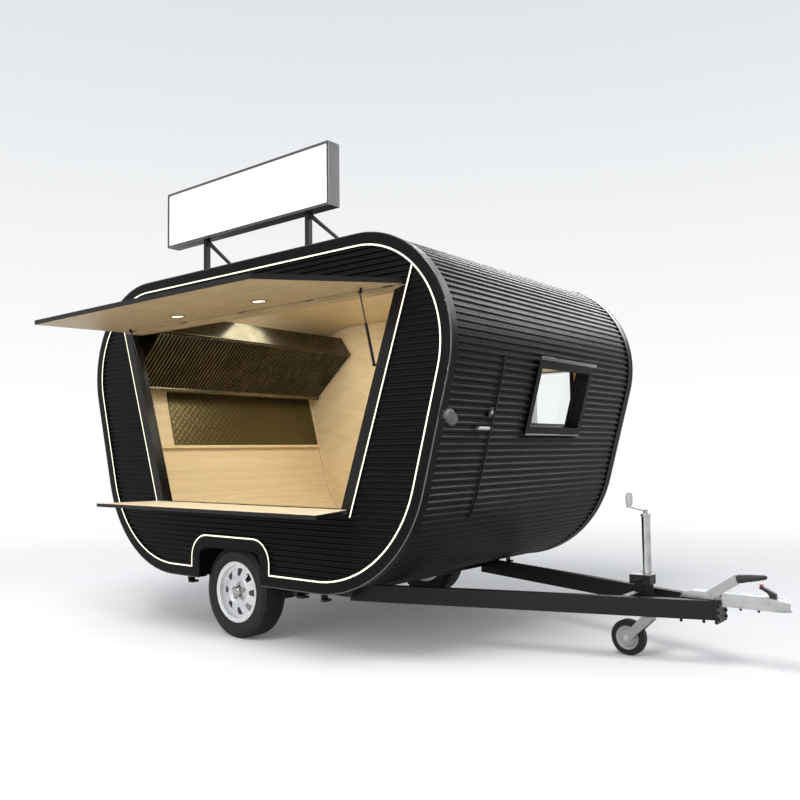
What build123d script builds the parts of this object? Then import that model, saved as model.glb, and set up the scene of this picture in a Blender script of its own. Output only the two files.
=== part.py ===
from build123d import *
import os
from math import atan, cos, degrees, radians, sin, sqrt, tan

os.makedirs("parts", exist_ok=True)

# Body outline, a tapered rounded box seen from the side
HALF_WIDTH = 1125.0
HALF_LENGTH = 1645.0
BODY_MID_X = 75.0
TOP_Z = 2390.0
BOTTOM_Z = 366.0
TOP_RADIUS = 640.0
BOTTOM_RADIUS = 800.0
TAPER = radians(15.4)

# Rim trim, light line and wall build-up
RING_WIDTH = 62.0
RING_DEPTH = 65.0
LIGHT_WIDTH = 10.0
LIGHT_DEPTH = 24.0
TOUCH_GAP = 0.3
RUN_GAP = 0.4
WALL_SETBACK = 8.0
WALL_THICKNESS = 45.0
WRAP_SETBACK = 4.0
WRAP_THICKNESS = 50.0

# Ribs of the sheeting
WRAP_RIB_PITCH = 40.0
WRAP_RIB_DEPTH = 10.0
SIDE_RIB_PITCH = 33.0
SIDE_RIB_DEPTH = 9.0

# Axle line and the wheel arch cut-out round it
AXLE_X = -26.0
ARCH_HALF = 298.0
ARCH_TOP_Z = 565.0
ARCH_CORNER = 70.0
ARCH_BAND = 72.0

# Service hatch, wider at the top than at the sill
HATCH_MID_X = 113.0
HATCH_END_MARGIN = 739.0
HATCH_SLOPE = 0.342
SILL_Z = 850.0
HEAD_Z = 2040.0
FRAME_FACE = 70.0
FRAME_RAIL = 20.0
FRAME_DEPTH = 71.0
FRAME_SETBACK = 4.0
HINGE_OUT = 6.0
HINGE_PIN_RADIUS = 3.5
HINGE_LEAF = 3.0

# Awning flap and serving shelf, which close the hatch between them
AWNING_HINGE_Z = 2062.0
AWNING_REACH = 820.0
AWNING_THICKNESS = 28.0
AWNING_DROOP = radians(4.5)
SHELF_REACH = 380.0
SHELF_THICKNESS = 22.0
FLAP_EDGE_INSET = 12.0

# Gas struts
STRUT_FOOT_Z = 1645.0
STRUT_FOOT_OUT = -15.0
STRUT_EYE_REACH = 95.0
STRUT_EYE_DROP = 22.0
STRUT_SIDE_GAP = 25.0
STRUT_TUBE_RADIUS = 8.0
STRUT_TUBE_LENGTH = 235.0
STRUT_ROD_RADIUS = 4.0
STRUT_EYE_RADIUS = 9.0
STRUT_EYE_WIDTH = 12.0
STRUT_EAR = 3.0

# Wheels
TYRE_RADIUS = 291.5
TYRE_WIDTH = 175.0
TYRE_INSET = 55.0
RIM_RADIUS = 187.0
RIM_BARREL = 172.0
RIM_WALL = 5.0
RIM_DISC_SET = 34.0
RIM_HOLE_CIRCLE = 122.0
RIM_HOLE_REACH = 23.0
RIM_HOLE_HALF = (13.0, 25.0)
RIM_HOLE_CORNER = 8.0
RIM_HOLES = 8
HUB_RADIUS = 62.0
HUB_CAP_RADIUS = 33.0
HUB_CAP_OUT = 26.0
STUB_RADIUS = 20.0

# Chassis
RAIL_INSET = 325.0
RAIL_WIDTH = 50.0
RAIL_HEIGHT = 66.0
FLOOR_THICKNESS = 60.0
CROSS_X = 640.0
CROSS_WIDTH = 60.0
AXLE_TUBE = 60.0
ARM_REACH = 176.0
AXLE_TUBE_Z = 266.0
ARM_INSET = 297.0
ARM_WIDTH = 34.0
ARCH_BOX_HALF = 345.0
ARCH_BOX_TOP_Z = 645.0
ARCH_BOX_SKIN = 5.0
ARCH_BOX_INSET = 285.0

# Drawbar, coupling and parking jack
BEAM_HEIGHT = 100.0
BEAM_TOP_Z = 362.0
BEAM_WIDTH = 50.0
BEAM_END_X = 2640.0
BEAM_END_Y = 40.0
BRACE_HEIGHT = 30.0
HEAD_PLATE = 14.0
HEAD_PLATE_HALF = 78.0
HEAD_PLATE_Z = (245.0, 366.0)
HEAD_BODY_X = 2440.0
HEAD_BODY_TOP_Z = 402.0
HEAD_BODY_HALF = 34.0
DRAW_TUBE_RADIUS = 26.0
DRAW_TUBE_Z = 367.0
DRAW_TUBE_GRIP = 120.0
COUPLING_NOSE_X = 3000.0
COUPLING_REAR_X = 2668.0
COUPLING_HALF = 38.0
COUPLING_LOW_Z = 334.0
COUPLING_TOP_Z = 402.0
COUPLING_FLANGE = 6.0
NOSE_RADIUS = 40.0
LEVER_FOOT = (2606.0, 386.0)
LEVER_KNEE = (2756.0, 486.0)
LEVER_TIP = (2896.0, 506.0)
LEVER_PLATE = 24.0
LEVER_WIDTH = 12.0
LEVER_BOSS = 14.0
GRIP_RADIUS = (17.0, 8.0)
BALL_RADIUS = 25.0
BALL_DEPTH = 42.0
JACK_X = 2250.0
CLAMP_X = (2160.0, 2280.0)
CLAMP_HALF = 42.0
CLAMP_Z = (408.0, 461.0)
JACK_TUBE_RADIUS = 24.0
JACK_LEG_RADIUS = 20.0
JACK_TUBE_BOTTOM_Z = 330.0
JACK_TUBE_TOP_Z = 800.0
JACK_LEG_BOTTOM_Z = 228.0
JACK_LEG_TOP_Z = 640.0
JACK_WHEEL_RADIUS = 100.0
JACK_WHEEL_WIDTH = 56.0
JACK_TRAIL = 120.0
CASTOR_PIN_RADIUS = 8.0

# Windows and entry door
FRONT_WINDOW = (700.0, 445.0)
FRONT_WINDOW_INSET = 659.0
FRONT_WINDOW_Z = 1484.0
FAR_WINDOW = (420.0, 494.0)
FAR_WINDOW_INSET = 410.0
FAR_WINDOW_Z = 1545.0
WINDOW_FRAME = 42.0
WINDOW_DEPTH = 90.0
GLASS = 6.0
PANE_SET = 12.0
DOOR_WIDTH = 562.0
DOOR_FRONT_INSET = 858.0
DOOR_ARCH_GAP = 24.0
DOOR_Z = (480.0, 2080.0)
DOOR_GAP = 6.0
DOOR_HINGE_Z = (660.0, 1280.0, 1900.0)

# Kitchen fittings on the rear wall
HOOD_NEAR_INSET = 140.0
HOOD_FAR_INSET = 69.0
HOOD_SHEET = 6.0
HOOD_LIP_REACH = 170.0
HOOD_LIP_Z = 1680.0
HOOD_FRONT_REACH = 605.0
HOOD_FASCIA_Z = 2068.0
HOOD_TOP_REACH = 495.0
HOOD_TOP_Z = 2226.0
SPLASH_NEAR_INSET = 575.0
SPLASH_FAR_INSET = 69.0
SPLASH_SHEET = 4.0
LEDGE_NEAR_INSET = 75.0
LEDGE_FAR_INSET = 67.0
LEDGE_Z = 1240.0
LEDGE_HEIGHT = 22.0
LEDGE_OUT = 32.0

# Roof sign
SIGN_MID_X = 75.0
SIGN_WIDTH = 1560.0
SIGN_HEIGHT = 380.0
SIGN_BOTTOM_Z = 2610.0
SIGN_DEPTH = 90.0
SIGN_INSET = 65.0
POST_REAR_INSET = 375.0
POST_FRONT_INSET = 215.0
POST_SIZE = 32.0
POST_BRACE_RUN = 260.0
POST_BRACE = 22.0

# Positions that follow from the sizes above
TOP_MID_X = HALF_LENGTH - TOP_RADIUS
TOP_MID_Z = TOP_Z - TOP_RADIUS
LOW_MID_Z = BOTTOM_Z + BOTTOM_RADIUS
SIDE_REACH = TOP_MID_X * cos(TAPER) - TOP_MID_Z * sin(TAPER) + TOP_RADIUS
LOW_MID_X = (SIDE_REACH - BOTTOM_RADIUS + LOW_MID_Z * sin(TAPER)) / cos(TAPER)
WALL_FACE_Y = HALF_WIDTH - WALL_SETBACK
FLAP_HINGE_Y = -HALF_WIDTH - HINGE_OUT
FLAP_START = HINGE_PIN_RADIUS + RUN_GAP
FRAME_FACE_Y = -HALF_WIDTH + FRAME_SETBACK
WRAP_HALF = HALF_WIDTH - RING_DEPTH - TOUCH_GAP
PANEL_INSET = RING_WIDTH + LIGHT_WIDTH
PANEL_ARCH = ARCH_BAND + LIGHT_WIDTH
WRAP_INSET = WRAP_SETBACK + WRAP_THICKNESS
WHEEL_Y = HALF_WIDTH - TYRE_INSET - TYRE_WIDTH / 2
REAR_END_X = BODY_MID_X - HALF_LENGTH
FRONT_END_X = BODY_MID_X + HALF_LENGTH
HATCH_HALF_AT_SILL = HALF_LENGTH - HATCH_END_MARGIN
RAIL_Y = HALF_WIDTH - RAIL_INSET
RAIL_REAR_X = BODY_MID_X - LOW_MID_X
RAIL_FRONT_X = BODY_MID_X + LOW_MID_X
AXLE_TUBE_X = AXLE_X + ARM_REACH
ARM_INNER_Y = HALF_WIDTH - ARM_INSET
ARCH_BOX_INNER_Y = HALF_WIDTH - ARCH_BOX_INSET
FRONT_WINDOW_MID = (HALF_WIDTH - FRONT_WINDOW_INSET - FRONT_WINDOW[0] / 2, FRONT_WINDOW_Z)
FAR_WINDOW_MID = (FRONT_END_X - FAR_WINDOW_INSET - FAR_WINDOW[0] / 2, FAR_WINDOW_Z)
DOOR_X = (FRONT_END_X - DOOR_FRONT_INSET - DOOR_WIDTH, FRONT_END_X - DOOR_FRONT_INSET)
HOOD_Y = (HOOD_NEAR_INSET - HALF_WIDTH, HALF_WIDTH - HOOD_FAR_INSET)
HOOD_LIP_X = REAR_END_X + HOOD_LIP_REACH
HOOD_FRONT_X = REAR_END_X + HOOD_FRONT_REACH
HOOD_TOP_X = REAR_END_X + HOOD_TOP_REACH
SPLASH_Y = (SPLASH_NEAR_INSET - HALF_WIDTH, HALF_WIDTH - SPLASH_FAR_INSET)
LEDGE_Y = (LEDGE_NEAR_INSET - HALF_WIDTH, HALF_WIDTH - LEDGE_FAR_INSET)
SIGN_Y = SIGN_INSET - HALF_WIDTH
POST_X = (
    SIGN_MID_X - SIGN_WIDTH / 2 + POST_REAR_INSET,
    SIGN_MID_X + SIGN_WIDTH / 2 - POST_FRONT_INSET,
)
AWNING_TIP_Y = FLAP_HINGE_Y - AWNING_REACH * cos(AWNING_DROOP) - AWNING_THICKNESS * sin(AWNING_DROOP)
SHIFT_X = -(REAR_END_X + COUPLING_NOSE_X) / 2
SHIFT_Y = -(HALF_WIDTH + AWNING_TIP_Y) / 2

nodes = {}


# Side-view faces have x along the trailer and the sheet's second axis upward
def polygon(points):
    return make_face(Polyline(*points, close=True))


def rectangle(x0, x1, z0, z1):
    return polygon([(x0, z0), (x1, z0), (x1, z1), (x0, z1)])


def across(face, y0, y1):
    plane = Plane(origin=(0, y1, 0), x_dir=(1, 0, 0), z_dir=(0, -1, 0))
    return extrude(plane * face, amount=y1 - y0)


def box(x0, x1, y0, y1, z0, z1):
    size = Box(x1 - x0, y1 - y0, z1 - z0)
    return Pos((x0 + x1) / 2, (y0 + y1) / 2, (z0 + z1) / 2) * size


def rod(start, end, radius):
    axis = Vector(*end) - Vector(*start)
    plane = Plane(origin=start, z_dir=axis.normalized())
    return extrude(plane * Circle(radius), amount=axis.length)


# Body outline set inward by a distance, tangent arcs and straight runs
def outline_points(inset):
    top = TOP_RADIUS - inset
    low = BOTTOM_RADIUS - inset
    turn = (radians(90) - TAPER) / 2
    fall = (radians(90) + TAPER) / 2
    side = [
        (TOP_MID_X, TOP_MID_Z + top),
        (TOP_MID_X + top * cos(turn), TOP_MID_Z + top * sin(turn)),
        (TOP_MID_X + top * cos(TAPER), TOP_MID_Z - top * sin(TAPER)),
        (LOW_MID_X + low * cos(TAPER), LOW_MID_Z - low * sin(TAPER)),
        (LOW_MID_X + low * cos(fall), LOW_MID_Z - low * sin(fall)),
        (LOW_MID_X, LOW_MID_Z - low),
    ]
    return side


def half_curve(inset, end):
    a, b, c, d, e, f = [(BODY_MID_X + end * x, z) for x, z in outline_points(inset)]
    return [ThreePointArc(a, b, c), Line(c, d), ThreePointArc(d, e, f)], a, f


def outline(inset):
    front, front_top, front_low = half_curve(inset, 1)
    rear, rear_top, rear_low = half_curve(inset, -1)
    return make_face(front + [Line(front_low, rear_low)] + rear + [Line(rear_top, front_top)])


def arch(growth):
    half = ARCH_HALF + growth
    top = ARCH_TOP_Z + growth
    corner = ARCH_CORNER + growth
    bend = corner * (1 - sqrt(0.5))
    right = ThreePointArc((half, top - corner), (half - bend, top - bend), (half - corner, top))
    left = ThreePointArc((corner - half, top), (bend - half, top - bend), (-half, top - corner))
    foot = Polyline((-half, top - corner), (-half, 0), (half, 0), (half, top - corner))
    return Pos(AXLE_X, 0) * make_face([right, Line((half - corner, top), (corner - half, top)), left, foot])


def side_field(inset, growth):
    return outline(inset) - arch(growth)


# Ribbed outer surface of the wrap, as points along the body outline
def wrap_path(end):
    top = TOP_RADIUS
    low = BOTTOM_RADIUS
    _, _, c, d, _, _ = outline_points(0)
    run = sqrt((c[0] - d[0]) ** 2 + (c[1] - d[1]) ** 2)
    upper = top * (radians(90) + TAPER)
    lower = low * (radians(90) - TAPER)

    def place(s, depth):
        if s < upper:
            angle = radians(90) - s / top
            x = TOP_MID_X + (top - depth) * cos(angle)
            z = TOP_MID_Z + (top - depth) * sin(angle)
        elif s < upper + run:
            x = c[0] - (s - upper) * sin(TAPER) - depth * cos(TAPER)
            z = c[1] - (s - upper) * cos(TAPER) + depth * sin(TAPER)
        else:
            angle = -TAPER - (s - upper - run) / low
            x = LOW_MID_X + (low - depth) * cos(angle)
            z = LOW_MID_Z + (low - depth) * sin(angle)
        return (BODY_MID_X + end * x, z)

    return place, upper + run + lower


def rib_run(length, pitch):
    count = round(length / pitch)
    step = length / count
    marks = []
    for i in range(count):
        start = i * step
        marks += [(start + 0.14 * step, 1), (start + 0.36 * step, 0)]
        marks += [(start + 0.64 * step, 0), (start + 0.86 * step, 1)]
    return [(0.0, 1)] + marks + [(length, 1)]


def wrap_end(end):
    place, length = wrap_path(end)
    ribs = rib_run(length, WRAP_RIB_PITCH)
    outer = [place(min(s, length - 1e-6), WRAP_SETBACK + deep * WRAP_RIB_DEPTH) for s, deep in ribs]
    inner, inner_top, inner_low = half_curve(WRAP_INSET, end)
    sheet = make_face([Polyline(*outer), Line(outer[-1], inner_low), Line(inner_top, outer[0])] + inner)
    return across(sheet, -WRAP_HALF, WRAP_HALF)


# Front and rear end walls run from the floor's edge over the top corner to the roof
front_wall = wrap_end(1)
nodes["rear_wall"] = wrap_end(-1)

roof_ribs = rib_run(2 * TOP_MID_X, WRAP_RIB_PITCH)
roof_line = [
    (BODY_MID_X - TOP_MID_X + s, TOP_Z - WRAP_SETBACK - deep * WRAP_RIB_DEPTH) for s, deep in roof_ribs
]
roof_low = TOP_Z - WRAP_INSET
roof_face = polygon(roof_line + [(roof_line[-1][0], roof_low), (roof_line[0][0], roof_low)])
nodes["roof_panel"] = across(roof_face, -WRAP_HALF, WRAP_HALF)

# Floor between the end walls, notched for the wheel boxes
floor = box(
    BODY_MID_X - LOW_MID_X, BODY_MID_X + LOW_MID_X, -WRAP_HALF, WRAP_HALF, BOTTOM_Z, BOTTOM_Z + FLOOR_THICKNESS
)
for side in (-1, 1):
    y0, y1 = sorted((side * ARCH_BOX_INNER_Y, side * (HALF_WIDTH + 1)))
    floor -= box(AXLE_X - ARCH_BOX_HALF, AXLE_X + ARCH_BOX_HALF, y0, y1, 0, TOP_Z)
nodes["floor_panel"] = floor

# Rim trims with the wheel-arch bands, near and far, and the near light line
ring_face = side_field(0, 0) - side_field(RING_WIDTH, ARCH_BAND)
light_face = side_field(RING_WIDTH + TOUCH_GAP, ARCH_BAND + TOUCH_GAP)
light_face -= side_field(PANEL_INSET - TOUCH_GAP, PANEL_ARCH - TOUCH_GAP)
nodes["rim_trim_near"] = across(ring_face, -HALF_WIDTH, -HALF_WIDTH + RING_DEPTH)
nodes["rim_trim_far"] = across(ring_face, HALF_WIDTH - RING_DEPTH, HALF_WIDTH)
nodes["rim_light_near"] = across(light_face, -HALF_WIDTH + 1, -HALF_WIDTH + 1 + LIGHT_DEPTH)


# Side panels with level ribs on the outer face
def ribbed_slab(side, z0, z1):
    ribs = rib_run(z1 - z0, SIDE_RIB_PITCH)
    face_y = [(WALL_FACE_Y - deep * SIDE_RIB_DEPTH, z0 + s) for s, deep in ribs]
    inner = WALL_FACE_Y - WALL_THICKNESS
    points = [(side * y, z) for y, z in face_y + [(inner, z1), (inner, z0)]]
    plane = Plane(origin=(BODY_MID_X - HALF_LENGTH - 10, 0, 0), x_dir=(0, 1, 0), z_dir=(1, 0, 0))
    return extrude(plane * polygon(points), amount=2 * HALF_LENGTH + 20)


def side_panel(face, side):
    y0, y1 = sorted((side * (WALL_FACE_Y - WALL_THICKNESS - 5), side * HALF_WIDTH))
    return across(face, y0, y1) & slabs[side]


def hatch_half(z):
    return HATCH_HALF_AT_SILL + HATCH_SLOPE * (z - SILL_Z)


def trapezoid(growth, z0, z1):
    slant = growth * sqrt(1 + HATCH_SLOPE**2)
    low = hatch_half(z0) + slant
    high = hatch_half(z1) + slant
    corners = [(-low, z0), (low, z0), (high, z1), (-high, z1)]
    return polygon([(HATCH_MID_X + x, z) for x, z in corners])


slabs = {side: ribbed_slab(side, BOTTOM_Z, TOP_Z) for side in (-1, 1)}
field = side_field(PANEL_INSET, PANEL_ARCH)
hatch_low = SILL_Z - FRAME_RAIL
hatch_high = HEAD_Z + FRAME_RAIL
hatch_hole = trapezoid(0, hatch_low, hatch_high)
near_cuts = {
    "wall_header": rectangle(REAR_END_X, FRONT_END_X, hatch_high, TOP_Z),
    "wall_apron": rectangle(REAR_END_X, FRONT_END_X, BOTTOM_Z, hatch_low),
    "wall_pier_rear": rectangle(REAR_END_X, HATCH_MID_X, hatch_low, hatch_high) - hatch_hole,
    "wall_pier_front": rectangle(HATCH_MID_X, FRONT_END_X, hatch_low, hatch_high) - hatch_hole,
}
for name, cut in near_cuts.items():
    nodes[name] = side_panel(field & cut, -1)


def centred(mid, size, growth):
    x, z = mid
    half_x = size[0] / 2 + growth
    half_z = size[1] / 2 + growth
    return rectangle(x - half_x, x + half_x, z - half_z, z + half_z)


door_face = rectangle(DOOR_X[0], DOOR_X[1], DOOR_Z[0], DOOR_Z[1]) - arch(ARCH_BAND + DOOR_ARCH_GAP + DOOR_GAP)
door_hole = rectangle(DOOR_X[0] - DOOR_GAP, DOOR_X[1] + DOOR_GAP, DOOR_Z[0] - DOOR_GAP, DOOR_Z[1] + DOOR_GAP)
door_hole -= arch(ARCH_BAND + DOOR_ARCH_GAP)
far_field = side_field(RING_WIDTH + TOUCH_GAP, ARCH_BAND + TOUCH_GAP)
far_face = far_field - door_hole - centred(FAR_WINDOW_MID, FAR_WINDOW, -WINDOW_FRAME + 10)
far_wall = side_panel(far_face, 1)
door_axis = DOOR_X[1] + HINGE_PIN_RADIUS + RUN_GAP
for z in DOOR_HINGE_Z:
    far_wall += rod((door_axis, WALL_FACE_Y, z - 50), (door_axis, WALL_FACE_Y, z + 50), HINGE_PIN_RADIUS)
nodes["wall_far"] = far_wall
nodes["entry_door"] = side_panel(door_face, 1)

# Hatch frame with the pins of both flaps
frame_face = hatch_hole - trapezoid(-FRAME_FACE, SILL_Z, HEAD_Z)
frame = across(frame_face, FRAME_FACE_Y, FRAME_FACE_Y + FRAME_DEPTH)
pins = [
    (AWNING_HINGE_Z, hatch_half(AWNING_HINGE_Z) - 40, hatch_high - HINGE_LEAF),
    (SILL_Z, hatch_half(SILL_Z) - 40, SILL_Z - HINGE_LEAF / 2),
]
for pin_z, half, leaf_z in pins:
    frame += rod((HATCH_MID_X - half, FLAP_HINGE_Y, pin_z), (HATCH_MID_X + half, FLAP_HINGE_Y, pin_z), HINGE_PIN_RADIUS)
    x0, x1 = HATCH_MID_X - half, HATCH_MID_X + half
    frame += box(x0, x1, FLAP_HINGE_Y + HINGE_PIN_RADIUS / 2, FRAME_FACE_Y + 1, leaf_z, leaf_z + HINGE_LEAF)
nodes["hatch_frame"] = frame


# A flap as a trapezoid slab, drawn flat with its reach along the second axis
def flap(hinge_z, reach, toward, low, high):
    slant = FLAP_EDGE_INSET * sqrt(1 + HATCH_SLOPE**2)
    near_half = hatch_half(hinge_z + toward * FLAP_START) - slant
    far_half = hatch_half(hinge_z + toward * reach) - slant
    corners = [(-near_half, -FLAP_START), (near_half, -FLAP_START), (far_half, -reach), (-far_half, -reach)]
    flat = polygon([(HATCH_MID_X + x, y) for x, y in corners])
    return extrude(Plane(origin=(0, 0, low)) * flat, amount=high - low)


awning = flap(AWNING_HINGE_Z, AWNING_REACH, -1, 0, AWNING_THICKNESS)
shelf = flap(SILL_Z, SHELF_REACH, 1, -SHELF_THICKNESS, 0)
nodes["serving_shelf"] = Pos(0, FLAP_HINGE_Y, SILL_Z) * shelf

# Gas struts stand in the hatch, foot pinned to the frame and stud against an ear under the awning
strut_edge = hatch_half(STRUT_FOOT_Z) - FRAME_FACE * sqrt(1 + HATCH_SLOPE**2)
strut_foot_y = -HALF_WIDTH - STRUT_FOOT_OUT
eye_y = -STRUT_EYE_REACH * cos(AWNING_DROOP) + STRUT_EYE_DROP * sin(AWNING_DROOP)
eye_z = -STRUT_EYE_REACH * sin(AWNING_DROOP) - STRUT_EYE_DROP * cos(AWNING_DROOP)
run_y = FLAP_HINGE_Y + eye_y - strut_foot_y
run_z = AWNING_HINGE_Z + eye_z - STRUT_FOOT_Z
strut_length = sqrt(run_y**2 + run_z**2)
strut_lean = degrees(atan(-run_y / run_z))
for name, side in (("rear", -1), ("front", 1)):
    x = HATCH_MID_X + side * (strut_edge - STRUT_SIDE_GAP)
    tube = rod((0, 0, STRUT_EYE_RADIUS - 2), (0, 0, STRUT_TUBE_LENGTH), STRUT_TUBE_RADIUS)
    tube -= rod((0, 0, STRUT_EYE_RADIUS + 6), (0, 0, STRUT_TUBE_LENGTH + 1), STRUT_ROD_RADIUS + RUN_GAP)
    eye = rod((-STRUT_EYE_WIDTH / 2, 0, 0), (STRUT_EYE_WIDTH / 2, 0, 0), STRUT_EYE_RADIUS)
    bore = rod((-STRUT_EYE_WIDTH, 0, 0), (STRUT_EYE_WIDTH, 0, 0), HINGE_PIN_RADIUS + RUN_GAP)
    stem_start = strut_length - STRUT_TUBE_LENGTH + 30
    stem = rod((0, 0, strut_length - stem_start), (0, 0, strut_length - STRUT_EYE_RADIUS + 2), STRUT_ROD_RADIUS)
    place = Pos(x, strut_foot_y, STRUT_FOOT_Z) * Rot(strut_lean, 0, 0)
    nodes["strut_tube_" + name] = place * (tube + eye - bore)
    ear_face = STRUT_EYE_WIDTH / 2 + STRUT_EAR / 2
    stud = rod((-side * (STRUT_EYE_WIDTH / 2 + 2), 0, 0), (side * (ear_face - RUN_GAP), 0, 0), HINGE_PIN_RADIUS + 1.5)
    nodes["strut_rod_" + name] = place * (stem + Pos(0, 0, strut_length) * (eye + stud))
    edge_x = HATCH_MID_X + side * strut_edge
    pin_end = x - side * (STRUT_EYE_WIDTH / 2 + 2)
    nodes["hatch_frame"] += rod(
        (edge_x + side * 9, strut_foot_y, STRUT_FOOT_Z), (pin_end, strut_foot_y, STRUT_FOOT_Z), HINGE_PIN_RADIUS
    )
    ear_x = x + side * (STRUT_EYE_WIDTH / 2 + STRUT_EAR)
    ear_y = -STRUT_EYE_REACH
    ear = box(ear_x - STRUT_EAR / 2, ear_x + STRUT_EAR / 2, ear_y - 9, ear_y + 9, -STRUT_EYE_DROP - 7, 1)
    awning += ear
nodes["awning_flap"] = Pos(0, FLAP_HINGE_Y, AWNING_HINGE_Z) * Rot(degrees(AWNING_DROOP), 0, 0) * awning


# Windows: a frame set over the wall's hole, and its pane
def window(plane, size):
    hole = Rectangle(size[0] - 2 * WINDOW_FRAME, size[1] - 2 * WINDOW_FRAME)
    lip = extrude(plane * (Rectangle(*size) - hole), amount=WINDOW_FRAME / 4)
    pane = extrude(plane.offset(PANE_SET - WINDOW_DEPTH) * hole, amount=GLASS)
    sleeve_face = Rectangle(size[0] - 2 * WINDOW_FRAME + 18, size[1] - 2 * WINDOW_FRAME + 18) - hole
    sleeve = extrude(plane.offset(-WINDOW_DEPTH) * sleeve_face, amount=WINDOW_DEPTH + 1)
    return lip + sleeve, pane


front_line = outline_points(WRAP_SETBACK)
face_x, face_z = front_line[2]
slope_x = face_x - (face_z - FRONT_WINDOW_MID[1]) * tan(TAPER) + BODY_MID_X
front_plane = Plane(
    origin=(slope_x, FRONT_WINDOW_MID[0], FRONT_WINDOW_MID[1]), x_dir=(0, 1, 0), z_dir=(cos(TAPER), 0, -sin(TAPER))
)
front_hole = Rectangle(FRONT_WINDOW[0] - 2 * WINDOW_FRAME + 20, FRONT_WINDOW[1] - 2 * WINDOW_FRAME + 20)
front_wall -= extrude(front_plane.offset(-2 * WRAP_THICKNESS) * front_hole, amount=4 * WRAP_THICKNESS)
nodes["front_wall"] = front_wall
nodes["front_window_frame"], nodes["front_window_pane"] = window(front_plane, FRONT_WINDOW)
far_plane = Plane(
    origin=(FAR_WINDOW_MID[0], WALL_FACE_Y, FAR_WINDOW_MID[1]), x_dir=(-1, 0, 0), z_dir=(0, 1, 0)
)
nodes["far_window_frame"], nodes["far_window_pane"] = window(far_plane, FAR_WINDOW)

# Kitchen: ledge, splashback and extraction hood on the rear wall's lining
lining = WRAP_INSET + TOUCH_GAP
rear_half = rectangle(REAR_END_X, BODY_MID_X, BOTTOM_Z, TOP_Z)
ledge_band = (outline(lining) - outline(lining + LEDGE_OUT)) & rear_half
nodes["kitchen_ledge"] = across(ledge_band & rectangle(REAR_END_X, FRONT_END_X, LEDGE_Z - LEDGE_HEIGHT, LEDGE_Z), *LEDGE_Y)
splash_band = (outline(lining) - outline(lining + SPLASH_SHEET)) & rear_half
splash_face = splash_band & rectangle(REAR_END_X, FRONT_END_X, LEDGE_Z + TOUCH_GAP, HOOD_LIP_Z - TOUCH_GAP)
nodes["kitchen_splashback"] = across(splash_face, *SPLASH_Y)
hood_points = [
    (HOOD_TOP_X, HOOD_TOP_Z), (HOOD_FRONT_X, HOOD_FASCIA_Z), (HOOD_LIP_X, HOOD_LIP_Z), (REAR_END_X, HOOD_LIP_Z), (REAR_END_X, HOOD_TOP_Z)
]
hood_in = [
    (HOOD_TOP_X - HOOD_SHEET, HOOD_TOP_Z - HOOD_SHEET), (HOOD_FRONT_X - 2 * HOOD_SHEET, HOOD_FASCIA_Z),
    (HOOD_LIP_X, HOOD_LIP_Z + HOOD_SHEET), (REAR_END_X, HOOD_LIP_Z + HOOD_SHEET), (REAR_END_X, HOOD_TOP_Z - HOOD_SHEET),
]
hood_y = (HOOD_Y[0] + HOOD_SHEET, HOOD_Y[1] - HOOD_SHEET)
nodes["extraction_hood"] = across(outline(lining) & polygon(hood_points), *HOOD_Y) - across(polygon(hood_in), *hood_y)

# Chassis rails, cross member, axle and wheel boxes
for name, side in (("near", -1), ("far", 1)):
    y0, y1 = side * RAIL_Y - RAIL_WIDTH / 2, side * RAIL_Y + RAIL_WIDTH / 2
    nodes["chassis_rail_" + name] = box(RAIL_REAR_X, RAIL_FRONT_X, y0, y1, BOTTOM_Z - RAIL_HEIGHT, BOTTOM_Z)
    inner, outer = ARCH_BOX_INNER_Y, HALF_WIDTH - RING_DEPTH - TOUCH_GAP
    shell = box(AXLE_X - ARCH_BOX_HALF, AXLE_X + ARCH_BOX_HALF, inner, outer, BOTTOM_Z, ARCH_BOX_TOP_Z)
    hollow = ARCH_BOX_HALF - ARCH_BOX_SKIN
    shell -= box(
        AXLE_X - hollow, AXLE_X + hollow, inner + ARCH_BOX_SKIN, outer + 1, 0, ARCH_BOX_TOP_Z - ARCH_BOX_SKIN
    )
    nodes["wheel_box_" + name] = shell if side > 0 else mirror(shell, Plane.XZ)
rail_inner = RAIL_Y - RAIL_WIDTH / 2
nodes["chassis_cross"] = box(
    CROSS_X - CROSS_WIDTH / 2, CROSS_X + CROSS_WIDTH / 2, -rail_inner, rail_inner, BOTTOM_Z - RAIL_HEIGHT, BOTTOM_Z
)
axle = box(
    AXLE_TUBE_X - AXLE_TUBE / 2, AXLE_TUBE_X + AXLE_TUBE / 2, -ARM_INNER_Y - 5, ARM_INNER_Y + 5,
    AXLE_TUBE_Z - AXLE_TUBE / 2, AXLE_TUBE_Z + AXLE_TUBE / 2,
)
axle += box(AXLE_TUBE_X - 40, AXLE_TUBE_X + 40, -RAIL_Y - 25, -RAIL_Y + 25, AXLE_TUBE_Z, BOTTOM_Z - RAIL_HEIGHT)
axle += box(AXLE_TUBE_X - 40, AXLE_TUBE_X + 40, RAIL_Y - 25, RAIL_Y + 25, AXLE_TUBE_Z, BOTTOM_Z - RAIL_HEIGHT)
arm_points = [
    (AXLE_X - 32, TYRE_RADIUS - 28), (AXLE_TUBE_X + 32, AXLE_TUBE_Z - 28),
    (AXLE_TUBE_X + 32, AXLE_TUBE_Z + 30), (AXLE_X - 32, TYRE_RADIUS + 28),
]
for side in (-1, 1):
    y0, y1 = sorted((side * ARM_INNER_Y, side * (ARM_INNER_Y + ARM_WIDTH)))
    axle += across(polygon(arm_points), y0, y1)
    stub = (AXLE_X, side * (ARM_INNER_Y + 5), TYRE_RADIUS)
    axle += rod(stub, (AXLE_X, side * (WHEEL_Y + 20), TYRE_RADIUS), STUB_RADIUS)
nodes["axle_beam"] = axle


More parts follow.
